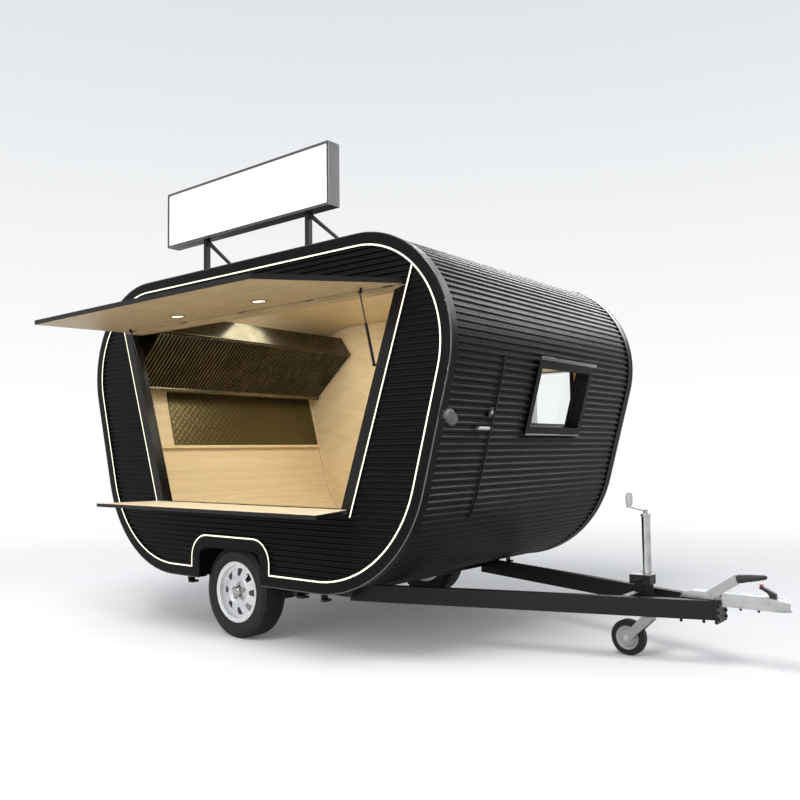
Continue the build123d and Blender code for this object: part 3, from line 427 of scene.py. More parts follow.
class Finishes:
    """Every finish on the cart, made into a material on first use."""

    SLOTS = {
        "rim_trim": "trim_black", "edge_bead": "trim_black", "light_line": "light_line",
        "satin_black": "gloss_black", "soft_grip": "castor_rubber", "chassis_paint": "chassis_black",
        "zinc_plate": "zinc", "cast_grey": "zinc", "bright_cap": "rim_silver", "rim_silver": "rim_silver",
        "tyre_rubber": "tyre", "baffle_steel": "stainless", "hood_steel": "stainless",
        "lip_steel": "stainless", "lining_along": "lining_wood", "sign_return": "post_black",
    }
    SHEET = Coated(
        "ribbed_sheet", (0.0033, 0.0034, 0.0036), (0.0055, 0.0055, 0.0058), (0.36, 0.44),
        specular=0.09, scale=5.0, bump=0.05,
    )
    TRIM = Coated(
        "rim_trim", (0.0035, 0.0035, 0.0037), (0.006, 0.006, 0.0062), (0.26, 0.36),
        specular=0.07, scale=6.0, bump=0.06,
    )
    EDGE = Coated(
        "edge_bead", (0.1, 0.1, 0.102), (0.16, 0.16, 0.163), (0.16, 0.28),
        metallic=1.0, scale=12.0, bump=0.08,
    )
    GLOSS = Coated(
        "hatch_gloss", (0.005, 0.0048, 0.0044), (0.009, 0.0085, 0.008), (0.14, 0.22),
        specular=0.2, scale=7.0, bump=0.04,
    )
    FLAP = Coated(
        "flap_black", (0.006, 0.006, 0.0062), (0.01, 0.01, 0.0103), (0.32, 0.45),
        specular=0.18, scale=6.0, bump=0.08,
    )
    CHASSIS = Coated(
        "chassis_paint", (0.006, 0.006, 0.0063), (0.013, 0.0127, 0.0123), (0.34, 0.5),
        specular=0.22, scale=10.0, bump=0.2,
    )
    LINER = Coated(
        "arch_liner", (0.005, 0.005, 0.005), (0.009, 0.0085, 0.008), (0.65, 0.8),
        specular=0.2, scale=20.0, bump=0.3,
    )
    RUBBER = Coated(
        "tyre_rubber", (0.009, 0.009, 0.0093), (0.017, 0.0166, 0.0162), (0.5, 0.68),
        specular=0.25, scale=16.0, bump=0.3,
    )
    GRIP = Coated(
        "soft_grip", (0.014, 0.014, 0.0145), (0.024, 0.024, 0.0245), (0.42, 0.58),
        specular=0.35, scale=30.0, bump=0.35,
    )
    RIM = Coated(
        "rim_silver", (0.66, 0.665, 0.675), (0.76, 0.765, 0.775), (0.24, 0.34),
        metallic=0.25, coat=0.2, scale=14.0, bump=0.06,
    )
    CHROME = Coated(
        "bright_cap", (0.26, 0.262, 0.268), (0.42, 0.422, 0.428), (0.06, 0.14),
        metallic=1.0, scale=18.0, bump=0.06,
    )
    ZINC = Coated(
        "zinc_plate", (0.27, 0.275, 0.28), (0.6, 0.605, 0.61), (0.22, 0.38),
        metallic=0.85, scale=13.0, bump=0.2,
    )
    CASTING = Coated(
        "cast_grey", (0.27, 0.272, 0.27), (0.44, 0.442, 0.44), (0.38, 0.52),
        metallic=0.4, scale=26.0, bump=0.3,
    )
    KNOB = Coated("grey_plastic", (0.4, 0.4, 0.385), (0.5, 0.5, 0.485), (0.34, 0.46), scale=30.0, bump=0.15)
    SATIN = Coated(
        "satin_black", (0.012, 0.012, 0.0125), (0.02, 0.02, 0.0205), (0.3, 0.42),
        specular=0.4, scale=24.0, bump=0.1,
    )
    REVEAL = Coated("reveal_white", (0.8, 0.8, 0.79), (0.86, 0.86, 0.85), (0.4, 0.5), scale=8.0, bump=0.08)
    FROST = Coated("frosted_lens", (0.07, 0.071, 0.072), (0.1, 0.101, 0.102), (0.34, 0.46), scale=26.0, bump=0.1)
    SIGN_SIDE = Coated(
        "sign_return", (0.05, 0.05, 0.052), (0.085, 0.085, 0.088), (0.3, 0.42),
        metallic=0.4, scale=12.0, bump=0.1,
    )
    RED = Coated(
        "red_lens", (0.45, 0.012, 0.01), (0.55, 0.02, 0.015), (0.12, 0.2),
        coat=0.5, scale=30.0, bump=0.1,
    )
    AMBER = Coated(
        "amber_lens", (0.75, 0.23, 0.01), (0.8, 0.28, 0.02), (0.12, 0.2),
        coat=0.5, scale=30.0, bump=0.1,
    )
    FLOOR = Coated("floor_coat", (0.1, 0.095, 0.09), (0.16, 0.15, 0.14), (0.5, 0.65), scale=26.0, bump=0.4)
    BAFFLE = Brushed("baffle_steel", (0.075, 0.07, 0.054), (0.145, 0.136, 0.106), Grain.ALONG_X, (0.18, 0.3))
    HOOD = Brushed("hood_steel", (0.07, 0.064, 0.046), (0.115, 0.106, 0.078), Grain.ALONG_Y, (0.2, 0.32))
    LIP = Brushed("lip_steel", (0.13, 0.118, 0.085), (0.2, 0.182, 0.135), Grain.ALONG_Y, (0.22, 0.34))
    # Near-black copy of the hood steel: painted shade in the gaps behind the baffle bars.
    SLOT = Coated(
        "baffle_recess_shade", (0.006, 0.0052, 0.0038), (0.01, 0.0088, 0.0065), (0.5, 0.65),
        specular=0.2, scale=20.0, bump=0.2,
    )
    TUBE = Brushed("bright_tube", (0.3, 0.305, 0.31), (0.52, 0.525, 0.53), Grain.ALONG_Z, (0.1, 0.22))
    # The second colour is painted shade in the quilt's hollows.
    QUILT = Quilted("quilted_sheet", (0.175, 0.154, 0.086), (0.115, 0.1, 0.052), 0.038)
    LINING_X = Board("lining_along", (0.84, 0.7, 0.475), (0.77, 0.62, 0.4), Grain.ALONG_X)
    LINING_Y = Board("lining_across", (0.86, 0.72, 0.5), (0.79, 0.645, 0.425), Grain.ALONG_Y)
    # The lining's wood painted about half as bright, as painted shade on faces that look down under the awning
    # and the hatch head.
    SOFFIT = Board("soffit_board", (0.41, 0.305, 0.168), (0.345, 0.248, 0.128), Grain.ALONG_X)
    SHELF = Board("shelf_board", (0.84, 0.72, 0.54), (0.74, 0.61, 0.43), Grain.ALONG_X)
    LIGHT = Glow("light_line", (1.0, 0.9, 0.68), (1.0, 0.93, 0.76), 0.85)
    LAMP = Glow("lamp_lens", (1.0, 0.93, 0.76), (1.0, 0.96, 0.86), 3.0)
    SIGN = Glow("sign_face", (0.84, 0.84, 0.83), (0.9, 0.9, 0.89), 0.5)
    GLASS = Pane("window_pane", (0.93, 0.95, 0.95), (0.96, 0.97, 0.97))

    def __init__(self) -> None:
        """Start with no materials."""
        self.effects = Effects()
        self.made: dict[str, bpy.types.Material] = {}

    def material(self, finish: Finish) -> bpy.types.Material:
        """Return a finish's material."""
        if finish.name not in self.made:
            self.made[finish.name] = finish.make(self.effects)
        return self.made[finish.name]


class Shaper:
    """A mesh under construction, in the trailer's millimetres."""

    def __init__(self) -> None:
        """Start with an empty mesh."""
        self.bm = bmesh.new()

    def _bevel(self, edges: Sequence[bmesh.types.BMEdge], width: float, segments: int) -> None:
        """Bevel edges by a width, where there is one."""
        if width > 0.0:
            bmesh.ops.bevel(
                self.bm, geom=edges, offset=width, affect="EDGES", segments=segments, profile=0.5, material=-1,
                clamp_overlap=True,
            )

    @staticmethod
    def _edges(verts: Sequence[bmesh.types.BMVert]) -> list[bmesh.types.BMEdge]:
        """Return the edges that meet the vertices."""
        return list({edge for vert in verts for edge in vert.link_edges})

    @staticmethod
    def _only(kind: type, parts: Sequence[object]) -> list:
        """Return the parts of one kind."""
        return [part for part in parts if isinstance(part, kind)]

    @staticmethod
    def _facing(axis: Sequence[float]) -> Matrix:
        """A turn that brings z onto an axis."""
        return Vector((0, 0, 1)).rotation_difference(Vector(axis)).to_matrix().to_4x4()

    def block(
        self, low: Sequence[float], high: Sequence[float], soft: float, segments: int = 2,
        place: Matrix | None = None,
    ) -> "Shaper":
        """Add a box with softened edges.

        Args:
            low: Lowest corner.
            high: Highest corner.
            soft: Width of the softened edges.
            segments: Steps round each edge.
            place: Where the box goes from its own space.

        Returns:
            This shaper.
        """
        verts = bmesh.ops.create_cube(self.bm, size=1.0)["verts"]
        bmesh.ops.scale(self.bm, vec=[b - a for a, b in zip(low, high)], verts=verts)
        bmesh.ops.translate(self.bm, vec=[(a + b) / 2 for a, b in zip(low, high)], verts=verts)
        if place is not None:
            bmesh.ops.transform(self.bm, matrix=place, verts=verts)
        self._bevel(self._edges(verts), soft, segments)
        return self

    def rod(
        self, start: Sequence[float], end: Sequence[float], radius: float, sides: int, soft: float,
        end_radius: float | None = None,
    ) -> "Shaper":
        """Add a round bar between two points.

        Args:
            start: Centre of the first end.
            end: Centre of the second end.
            radius: Radius at the first end.
            sides: Number of sides.
            soft: Width of the softened rims.
            end_radius: Radius at the second end, if it differs.

        Returns:
            This shaper.
        """
        axis = Vector(end) - Vector(start)
        second = radius if end_radius is None else end_radius
        verts = bmesh.ops.create_cone(
            self.bm, cap_ends=True, segments=sides, radius1=radius, radius2=second, depth=axis.length
        )["verts"]
        place = Matrix.Translation((Vector(start) + Vector(end)) / 2) @ self._facing(axis)
        bmesh.ops.transform(self.bm, matrix=place, verts=verts)
        rims = [edge for edge in self._edges(verts) if any(len(face.verts) > 4 for face in edge.link_faces)]
        self._bevel(rims, soft, 2)
        return self

    def turned(
        self, profile: Sequence[Pair], origin: Sequence[float], axis: Sequence[float], steps: int = 40
    ) -> "Shaper":
        """Add a shape turned about an axis.

        Args:
            profile: Radius and distance along the axis of each point.
            origin: Where the axis starts.
            axis: Direction of the axis.
            steps: Steps round the axis.

        Returns:
            This shaper.
        """
        before = set(self.bm.verts)
        verts = [self.bm.verts.new((radius, 0.0, along)) for radius, along in profile]
        edges = [self.bm.edges.new(pair) for pair in zip(verts, verts[1:])]
        bmesh.ops.spin(
            self.bm, geom=verts + edges, cent=(0, 0, 0), axis=(0, 0, 1), angle=math.tau, steps=steps,
            use_merge=True,
        )
        bmesh.ops.remove_doubles(self.bm, verts=[v for v in self.bm.verts if v not in before], dist=0.001)
        made = [vert for vert in self.bm.verts if vert not in before]
        faces = list({face for vert in made for face in vert.link_faces})
        bmesh.ops.recalc_face_normals(self.bm, faces=faces)
        place = Matrix.Translation(Vector(origin)) @ self._facing(axis)
        bmesh.ops.transform(self.bm, matrix=place, verts=made)
        return self

    def slab(self, points: Sequence[Sequence[float]], offset: Sequence[float], soft: float) -> "Shaper":
        """Add a flat outline pushed along an offset.

        Args:
            points: Corners of the outline.
            offset: How far and which way it is pushed.
            soft: Width of the softened edges.

        Returns:
            This shaper.
        """
        face = self.bm.faces.new([self.bm.verts.new(point) for point in points])
        pushed = bmesh.ops.extrude_face_region(self.bm, geom=[face], use_keep_orig=True)["geom"]
        far = self._only(bmesh.types.BMVert, pushed)
        bmesh.ops.translate(self.bm, vec=offset, verts=far)
        verts = list(face.verts) + far
        bmesh.ops.recalc_face_normals(self.bm, faces=list({f for v in verts for f in v.link_faces}))
        self._bevel(self._edges(verts), soft, 2)
        return self

    def trail(self, loop: Sequence[Sequence[float]], moves: Sequence[tuple]) -> "Shaper":
        """Draw a closed section along straight runs and turns about y.

        Args:
            loop: Corners of the section at the start.
            moves: A run as its vector, or a turn as its centre, angle and steps.

        Returns:
            This shaper.
        """
        verts = [self.bm.verts.new(point) for point in loop]
        edges = [self.bm.edges.new(pair) for pair in zip(verts, verts[1:] + verts[:1])]
        made = {self.bm.faces.new(verts)}
        for move in moves:
            before = set(self.bm.faces)
            if len(move) == 1:
                used = {vert for edge in edges for vert in edge.verts}
                grown = bmesh.ops.extrude_edge_only(self.bm, edges=edges)["geom"]
                bmesh.ops.translate(self.bm, vec=move[0], verts=self._only(bmesh.types.BMVert, grown))
                edges = [edge for edge in self._only(bmesh.types.BMEdge, grown) if not used & set(edge.verts)]
            else:
                centre, angle, steps = move
                last = bmesh.ops.spin(
                    self.bm, geom=edges, cent=centre, axis=(0, 1, 0), angle=angle, steps=steps, use_merge=False
                )["geom_last"]
                edges = self._only(bmesh.types.BMEdge, last)
            made |= set(self.bm.faces) - before
        made.add(bmesh.ops.contextual_create(self.bm, geom=edges)["faces"][0])
        bmesh.ops.recalc_face_normals(self.bm, faces=list(made))
        return self

    def _copies(self, count: int) -> list[list[bmesh.types.BMVert]]:
        """Copy all that is there so far, up to a count in all, and return each copy's vertices."""
        first = list(self.bm.verts) + list(self.bm.edges) + list(self.bm.faces)
        made = [bmesh.ops.duplicate(self.bm, geom=first)["geom"] for _ in range(1, count)]
        return [self._only(bmesh.types.BMVert, copy) for copy in made]

    def repeated(self, count: int, step: Sequence[float]) -> "Shaper":
        """Repeat all that is there so far at a step."""
        for i, verts in enumerate(self._copies(count), 1):
            bmesh.ops.translate(self.bm, vec=[i * s for s in step], verts=verts)
        return self

    def ringed(self, count: int, centre: Sequence[float]) -> "Shaper":
        """Repeat all that is there so far round an axis along y."""
        for i, verts in enumerate(self._copies(count), 1):
            turn = Matrix.Rotation(math.tau * i / count, 3, "Y")
            bmesh.ops.rotate(self.bm, verts=verts, cent=centre, matrix=turn)
        return self

    def piece(self, name: str, body: str, material: bpy.types.Material) -> bpy.types.Object:
        """Finish the mesh as an object that rides on a body.

        Args:
            name: Name of the piece.
            body: Body it moves with.
            material: Its material.

        Returns:
            The object, at the origin.
        """
        bmesh.ops.translate(self.bm, vec=SHIFT, verts=self.bm.verts)
        bmesh.ops.scale(self.bm, vec=(0.001, 0.001, 0.001), verts=self.bm.verts)
        for face in self.bm.faces:
            face.smooth = True
        for edge in self.bm.edges:
            edge.smooth = len(edge.link_faces) == 2 and edge.calc_face_angle(0.0) < SMOOTH_ANGLE
        mesh = bpy.data.meshes.new(name)
        self.bm.to_mesh(mesh)
        self.bm.free()
        mesh.materials.append(material)
        made = bpy.data.objects.new(name, mesh)
        bpy.context.scene.collection.objects.link(made)
        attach(made, body)
        log.info("piece %s on %s, %d faces", name, body, len(mesh.polygons))
        return made


@dataclass
class Assembly:
    """A sub-assembly, which makes its pieces in the cart's finishes."""

    finishes: Finishes

    def add(self, name: str, shaper: Shaper, finish: Finish, body: str = "trailer") -> bpy.types.Object:
        """Make a mesh into a piece in a finish, which moves with a body, and return it."""
        return shaper.piece(name, body, self.finishes.material(finish))

    def flat_lamp(
        self, name: str, body: str, at: Sequence[float], out: Sequence[float], ring: Sequence[Pair],
        lens: Sequence[Pair],
    ) -> None:
        """Make a lamp's ring and lens from their profiles, at a foot and shining out of it."""
        for kind, profile, finish in (("ring", ring, Finishes.SATIN), ("lens", lens, Finishes.LAMP)):
            self.add(name.format(kind), Shaper().turned(profile, at, out), finish, body)

    def second(self, mesh: bpy.types.Mesh, finish: Finish, test: Test) -> None:
        """Give a second finish to the faces of a mesh that pass a test.

        Args:
            mesh: The mesh, with its first material.
            finish: The second finish.
            test: Takes a face's normal and its centre in trailer millimetres.
        """
        mesh.materials.append(self.finishes.material(finish))
        for face in mesh.polygons:
            face.material_index = int(test(face.normal, face.center * 1000.0 - SHIFT))


@dataclass
class Cladding(Assembly):
    """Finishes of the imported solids."""

    cabin_mid: Pair = (75.0, 1370.0)
    far_window: Pair = (1100.0, 1545.0)
    lining_y: float = 1080.0

    def dress(self, nodes: str, finish: Finish, second: Finish | None = None, test: Test | None = None) -> None:
        """Give solids their finish, and a second one to the faces that pass a test.

        Args:
            nodes: Names of the solids, with spaces between them.
            finish: Their finish.
            second: Finish of the faces that pass.
            test: Takes a face's normal and its centre in trailer millimetres.
        """
        for node in nodes.split():
            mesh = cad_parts[node].data
            mesh.materials.clear()
            mesh.materials.append(self.finishes.material(finish))
            if second is not None:
                self.second(mesh, second, test)
            log.info("solid %s in %s", node, finish.name)

    def _inward(self, normal: Vector, centre: Vector) -> bool:
        """True for a face of an end wall or the roof that looks into the cabin."""
        out = Vector((centre.x - self.cabin_mid[0], 0.0, centre.z - self.cabin_mid[1])).normalized()
        return normal.dot(out) < -0.3

    def _reveal(self, normal: Vector, centre: Vector) -> bool:
        """True for a face that lines the far window's opening."""
        middle = Vector((self.far_window[0] - centre.x, 0.0, self.far_window[1] - centre.z))
        return abs(normal.y) < 0.5 and normal.dot(middle) > 0.0

    @staticmethod
    def _soffit(normal: Vector, centre: Vector) -> bool:
        """True for a face at the hatch's head that is seen from below or outside, which takes painted shade."""
        return centre.z > 2030.0 and (normal.z < -0.9 or normal.y < -0.9 and centre.z < 2064.0)

    @staticmethod
    def _hub(normal: Vector, centre: Vector) -> bool:
        """True for a face of the castor's disc, inside its tread."""
        return math.hypot(centre.x - CASTOR.x, centre.z - CASTOR.z) < 64.0

    def build(self) -> None:
        """Dress every solid."""
        f, y = Finishes, self.lining_y
        self.dress("front_wall rear_wall roof_panel", f.SHEET, f.LINING_Y, self._inward)
        near = "wall_header wall_apron wall_pier_rear wall_pier_front"
        self.dress(near, f.SHEET, f.LINING_X, lambda n, c: n.y > 0.7 and c.y > -y)
        self.dress("wall_far entry_door", f.SHEET, f.LINING_X, lambda n, c: n.y < -0.7 and c.y < y)
        self.dress("rim_trim_near rim_trim_far front_window_frame", f.TRIM)
        self.dress("rim_light_near", f.TRIM, f.LIGHT, lambda n, c: n.y < -0.9)
        # The hatch head's underside and its outer strip take the darker wood as painted shade.
        self.dress("hatch_frame", f.GLOSS, f.SOFFIT, self._soffit)
        self.dress("floor_panel", f.FLOOR)
        # The awning's underside takes the darker wood as painted shade.
        self.dress("awning_flap", f.FLAP, f.SOFFIT, lambda n, c: n.z < -0.9 or n.y > 0.9)
        self.dress("serving_shelf", f.FLAP, f.SHELF, lambda n, c: n.z > 0.9)
        self.dress("strut_tube_rear strut_tube_front sign_post_rear sign_post_front", f.CHASSIS)
        self.dress("strut_rod_rear strut_rod_front", f.SATIN)
        self.dress("far_window_frame", f.TRIM, f.REVEAL, self._reveal)
        self.dress("front_window_pane far_window_pane", f.GLASS)
        self.dress("kitchen_ledge", f.LINING_Y)
        self.dress("kitchen_splashback", f.QUILT)
        # The hood's sloping mouth behind the baffles is painted near-black as shade.
        self.dress("extraction_hood", f.HOOD, f.SLOT, lambda n, c: n.z < -0.6 and n.x > 0.5)
        self.dress("chassis_rail_near chassis_rail_far drawbar_beam_near drawbar_beam_far", f.CHASSIS)
        self.dress("chassis_cross axle_beam", f.CHASSIS)
        self.dress("wheel_box_near wheel_box_far", f.LINER)
        self.dress("tyre_near tyre_far", f.RUBBER)
        self.dress("rim_near rim_far", f.RIM)
        # The brace's upward faces take the lighter cast grey as a painted highlight on its top.
        self.dress("drawbar_brace", f.CHASSIS, f.CASTING, lambda n, c: n.z > 0.9)
        self.dress("jack_leg", f.ZINC)
        self.dress("drawbar_head", f.ZINC, f.CHASSIS, lambda n, c: 2639.0 < c.x < 2655.0 and c.z < 366.5)
        self.dress("coupling_head", f.ZINC, f.GRIP, lambda n, c: c.z > 404.0)
        self.dress("jack_fork", f.CASTING)
        self.dress("jack_tube", f.TUBE, f.KNOB, lambda n, c: c.z > 846.0)
        self.dress("jack_wheel", f.RUBBER, f.CASTING, self._hub)
        self.dress("brake_lever", f.CASTING, f.GRIP, lambda n, c: c.x > 2790.0)
        self.dress("sign_box", f.SIGN_SIDE, f.SIGN, lambda n, c: n.y < -0.9)


@dataclass
class Studio:
    """Camera, lamps, floor and background."""

    camera_at: Point = (3.3921, -4.0797, 1.1728)
    yaw: float = 0.6801
    pitch: float = 0.0621
    roll: float = -0.0126
    focal_pixels: float = 818.28
    picture_pixels: float = 800.0
    sensor: float = 36.0

    def camera(self) -> None:
        """Set the camera where the picture was taken."""
        forward = Vector((-math.sin(self.yaw), math.cos(self.yaw), 0.0))
        right = Vector((math.cos(self.yaw), math.sin(self.yaw), 0.0))
        up = Vector((0.0, 0.0, 1.0))
        ahead = forward * math.cos(self.pitch) + up * math.sin(self.pitch)
        level_up = up * math.cos(self.pitch) - forward * math.sin(self.pitch)
        across = right * math.cos(self.roll) + level_up * math.sin(self.roll)
        above = level_up * math.cos(self.roll) - right * math.sin(self.roll)
        turn = Matrix((across, above, -ahead)).transposed()
        lens = bpy.data.cameras.new("view_camera")
        lens.sensor_width = self.sensor
        lens.lens = self.focal_pixels * self.sensor / self.picture_pixels
        lens.clip_end = 200.0
        camera = bpy.data.objects.new("view_camera", lens)
        camera.matrix_world = Matrix.Translation(self.camera_at) @ turn.to_4x4()
        bpy.context.scene.collection.objects.link(camera)
        bpy.context.scene.camera = camera

    @staticmethod
    def lamp(name: str, at: Point, toward: Point, size: Pair, power: float, colour: Colour) -> bpy.types.Object:
        """Hang an area lamp.

        Args:
            name: Name of the lamp.
            at: Where it hangs.
            toward: What it faces.
            size: Its width and height.
            power: Its power in watts.
            colour: Its colour.

        Returns:
            The lamp's object.
        """
        data = bpy.data.lights.new(name, "AREA")
        data.shape = "RECTANGLE"
        data.size, data.size_y = size
        data.energy = power
        data.color = colour
        made = bpy.data.objects.new(name, data)
        aim = (Vector(toward) - Vector(at)).to_track_quat("-Z", "Y").to_matrix().to_4x4()
        made.matrix_world = Matrix.Translation(at) @ aim
        bpy.context.scene.collection.objects.link(made)
        return made

    def lamps(self) -> None:
        """Hang the studio's soft lamps and the warm ones of the cabin and awning."""
        white, cool, warm = (1.0, 1.0, 1.0), (0.96, 0.98, 1.0), (1.0, 0.95, 0.78)
        self.lamp("overhead_box", (1.4, -5.2, 8.2), (-0.4, 0.0, 0.4), (4.0, 4.0), 560.0, white)
        self.lamp("serving_fill", (-1.0, -7.0, 3.2), (-0.6, 0.0, 1.0), (5.0, 3.0), 90.0, white)
        self.lamp("front_fill", (7.0, 0.8, 3.0), (0.6, 0.4, 1.0), (3.0, 3.0), 25.0, white)
        sheen = self.lamp("roof_sheen", (1.0, 5.6, 5.0), (0.7, 0.4, 2.1), (7.5, 2.8), 640.0, cool)
        sheen.visible_diffuse = False
        sheen.visible_camera = False
        self.lamp("cabin_lamp_rear", (-1.35, 0.35, 2.28), (-1.5, 0.5, 0.4), (0.7, 0.9), 15.0, warm)
        self.lamp("cabin_lamp_front", (-0.4, 0.35, 2.28), (-0.6, 0.5, 0.4), (0.7, 0.9), 6.5, warm)
        for name, x in (("rear", -0.93), ("front", -0.16)):
            beam = self.lamp("awning_beam_" + name, (x, -0.97, 2.02), (x, -0.8, 0.8), (0.08, 0.08), 3.2, warm)
            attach(beam, "awning")

    def floor(self) -> None:
        """Lay the pale floor."""
        shape = bmesh.new()
        bmesh.ops.create_circle(shape, cap_ends=True, segments=64, radius=16.0)
        mesh = bpy.data.meshes.new("studio_floor")
        shape.to_mesh(mesh)
        shape.free()
        floor = bpy.data.objects.new("studio_floor", mesh)
        bpy.context.scene.collection.objects.link(floor)
        mesh.materials.append(self._floor_finish())

    def background(self) -> None:
        """Set a background that is paler low down."""
        world = bpy.data.worlds.new("studio_world")
        world.use_nodes = True
        bpy.context.scene.world = world
        graph, nodes = Graph(world.node_tree), world.node_tree.nodes
        plain = nodes["Background"]
        graph.put((0.93, 0.96, 1.0, 1.0), plain.inputs["Color"])
        graph.put(0.62, plain.inputs["Strength"])
        place = graph.node("TexCoord", {}).outputs["Generated"]
        fade = graph.node("ValToRGB", {"Fac": graph.node("SeparateXYZ", {"Vector": place}).outputs["Z"]})
        low, high = fade.color_ramp.elements
        low.position, low.color = 0.06, (1.0, 1.0, 1.0, 1.0)
        high.position, high.color = 0.5, (0.75, 0.78, 0.81, 1.0)
        seen = graph.node("Background", {"Color": fade.outputs["Color"]}).outputs["Background"]
        mix = graph.node("MixShader", {"Fac": graph.seen_directly(), 1: plain.outputs["Background"], 2: seen})
        graph.put(mix.outputs["Shader"], nodes["World Output"].inputs["Surface"])

    @staticmethod
    def _floor_finish() -> bpy.types.Material:
        """Make the floor's finish, pale near the cart and fading out far away."""
        recipe = Recipe("studio_floor", Effects())
        recipe.set(Base_Color=(0.93, 0.93, 0.93, 1.0), Roughness=0.9, Specular_IOR_Level=0.0)
        reach = recipe.node("VectorMath", {0: recipe.place}, operation="LENGTH").outputs["Value"]
        fade = recipe.node(
            "MapRange", {"Value": reach, "From Min": 3.0, "From Max": 9.0}, interpolation_type="SMOOTHSTEP"
        ).outputs["Result"]
        lift = recipe.math("MULTIPLY", recipe.seen_directly(), 0.08)
        pale = recipe.node("Emission", {"Color": (0.98, 0.99, 1.0, 1.0), "Strength": lift}).outputs["Emission"]
        both = recipe.node("AddShader", {0: recipe.shader.outputs["BSDF"], 1: pale}).outputs["Shader"]
        clear = recipe.node("BsdfTransparent", {}).outputs["BSDF"]
        mix = recipe.node("MixShader", {"Fac": fade, 1: both, 2: clear}).outputs["Shader"]
        recipe.put(mix, recipe.tree.nodes["Material Output"].inputs["Surface"])
        return recipe.material

    def build(self) -> None:
        """Set the whole studio."""
        bpy.context.scene.view_settings.view_transform = "Standard"
        self.camera()
        self.lamps()
        self.floor()
        self.background()


@dataclass
class BodyTrim(Assembly):
    """Edge beads, corner battens and hatch light lines of the cabin."""

    bead: float = 4.0
    batten: float = 12.0
    batten_y: Pair = (1058.9, 1071.7)
    lining_inset: float = 54.3
    line_width: float = 10.0
    line_z: Pair = (806.0, 2168.0)

    def around(self, loop: Sequence[Point], end: int, inset: float, floor_run: float) -> Shaper:
        """Draw a section round one half of the body's outline.

        Args:
            loop: The section at the middle of the roof.
            end: 1 for the front half, -1 for the rear half.
            inset: Distance inward from the outline.
            floor_run: Length of the run along the bottom.

        Returns:
            The shaper that holds the result.
        """
        top, low = TOP_RADIUS - inset, LOW_RADIUS - inset
        run = math.hypot(
            TOP_MID[0] + top * math.cos(TAPER) - LOW_MID[0] - low * math.cos(TAPER),
            TOP_MID[1] - top * math.sin(TAPER) - LOW_MID[1] + low * math.sin(TAPER),
        )
        slope = Vector((-end * math.sin(TAPER), 0.0, -math.cos(TAPER))) * run
        moves = [
            ((end * TOP_MID[0], 0.0, 0.0),),
            ((BODY_MID_X + end * TOP_MID[0], 0.0, TOP_MID[1]), end * (math.pi / 2 + TAPER), 28),
            (slope,),
            ((BODY_MID_X + end * LOW_MID[0], 0.0, LOW_MID[1]), end * (math.pi / 2 - TAPER), 24),
        ]
        if floor_run > 0.0:
            moves.append(((-end * floor_run, 0.0, 0.0),))
        return Shaper().trail(loop, moves)

    def edge_bead(self, side: Side, end: int, name: str) -> None:
        """Run a thin bead round half of a rim trim's outer corner.

        Args:
            side: Serving side or far side.
            end: 1 for the front half, -1 for the rear half.
            name: The half's name.
        """
        y, z = side.value * (HALF_WIDTH - 3.0), TOP_MID[1] + TOP_RADIUS
        angles = [math.tau * i / 8 for i in range(8)]
        loop = [(BODY_MID_X, y + self.bead * math.cos(a), z + self.bead * math.sin(a)) for a in angles]
        floor_run = LOW_MID[0] + end * (BODY_MID_X - AXLE_X) - ARCH_HALF - 8.0
        self.add("edge_bead_" + name, self.around(loop, end, 0.0, floor_run), Finishes.EDGE)

    def corner_batten(self, side: Side, end: int, name: str) -> None:
        """Run a wooden batten along the lining's inner corner.

        Args:
            side: Serving side or far side.
            end: 1 for the front half, -1 for the rear half.
            name: The half's name.
        """
        z = TOP_MID[1] + TOP_RADIUS - self.lining_inset
        near, far = (side.value * y for y in self.batten_y)
        foot, cut = z - self.batten, self.batten * 0.4
        section = ((near, z), (far, z), (far, foot), (far - side.value * cut, foot), (near, z - cut))
        loop = [(BODY_MID_X, *point) for point in section]
        self.add("corner_batten_" + name, self.around(loop, end, self.lining_inset, 0.0), Finishes.LINING_X)

    def hatch_lines(self) -> None:
        """Lay the light lines beside the hatch's slanted posts."""
        low, high = self.line_z
        inner, outer = 1.0, 1.0 + self.line_width
        for name, end in (("rear", -1), ("front", 1)):
            corners = [
                (HATCH_MID_X + end * (hatch_half(z) + out), -1110.0, z)
                for z, out in ((low, inner), (low, outer), (high, outer), (high, inner))
            ]
            strip = Shaper().slab(corners, (0.0, -12.0, 0.0), 1.0)
            made = self.add("hatch_line_" + name, strip, Finishes.TRIM)
            self.second(made.data, Finishes.LIGHT, lambda n, c: n.y < -0.9)

    def build(self) -> None:
        """Build every piece of the trim."""
        for side in Side:
            for end, half in ((1, "front"), (-1, "rear")):
                self.edge_bead(side, end, f"{side.label}_{half}")
                self.corner_batten(side, end, f"{side.label}_{half}")
        self.hatch_lines()


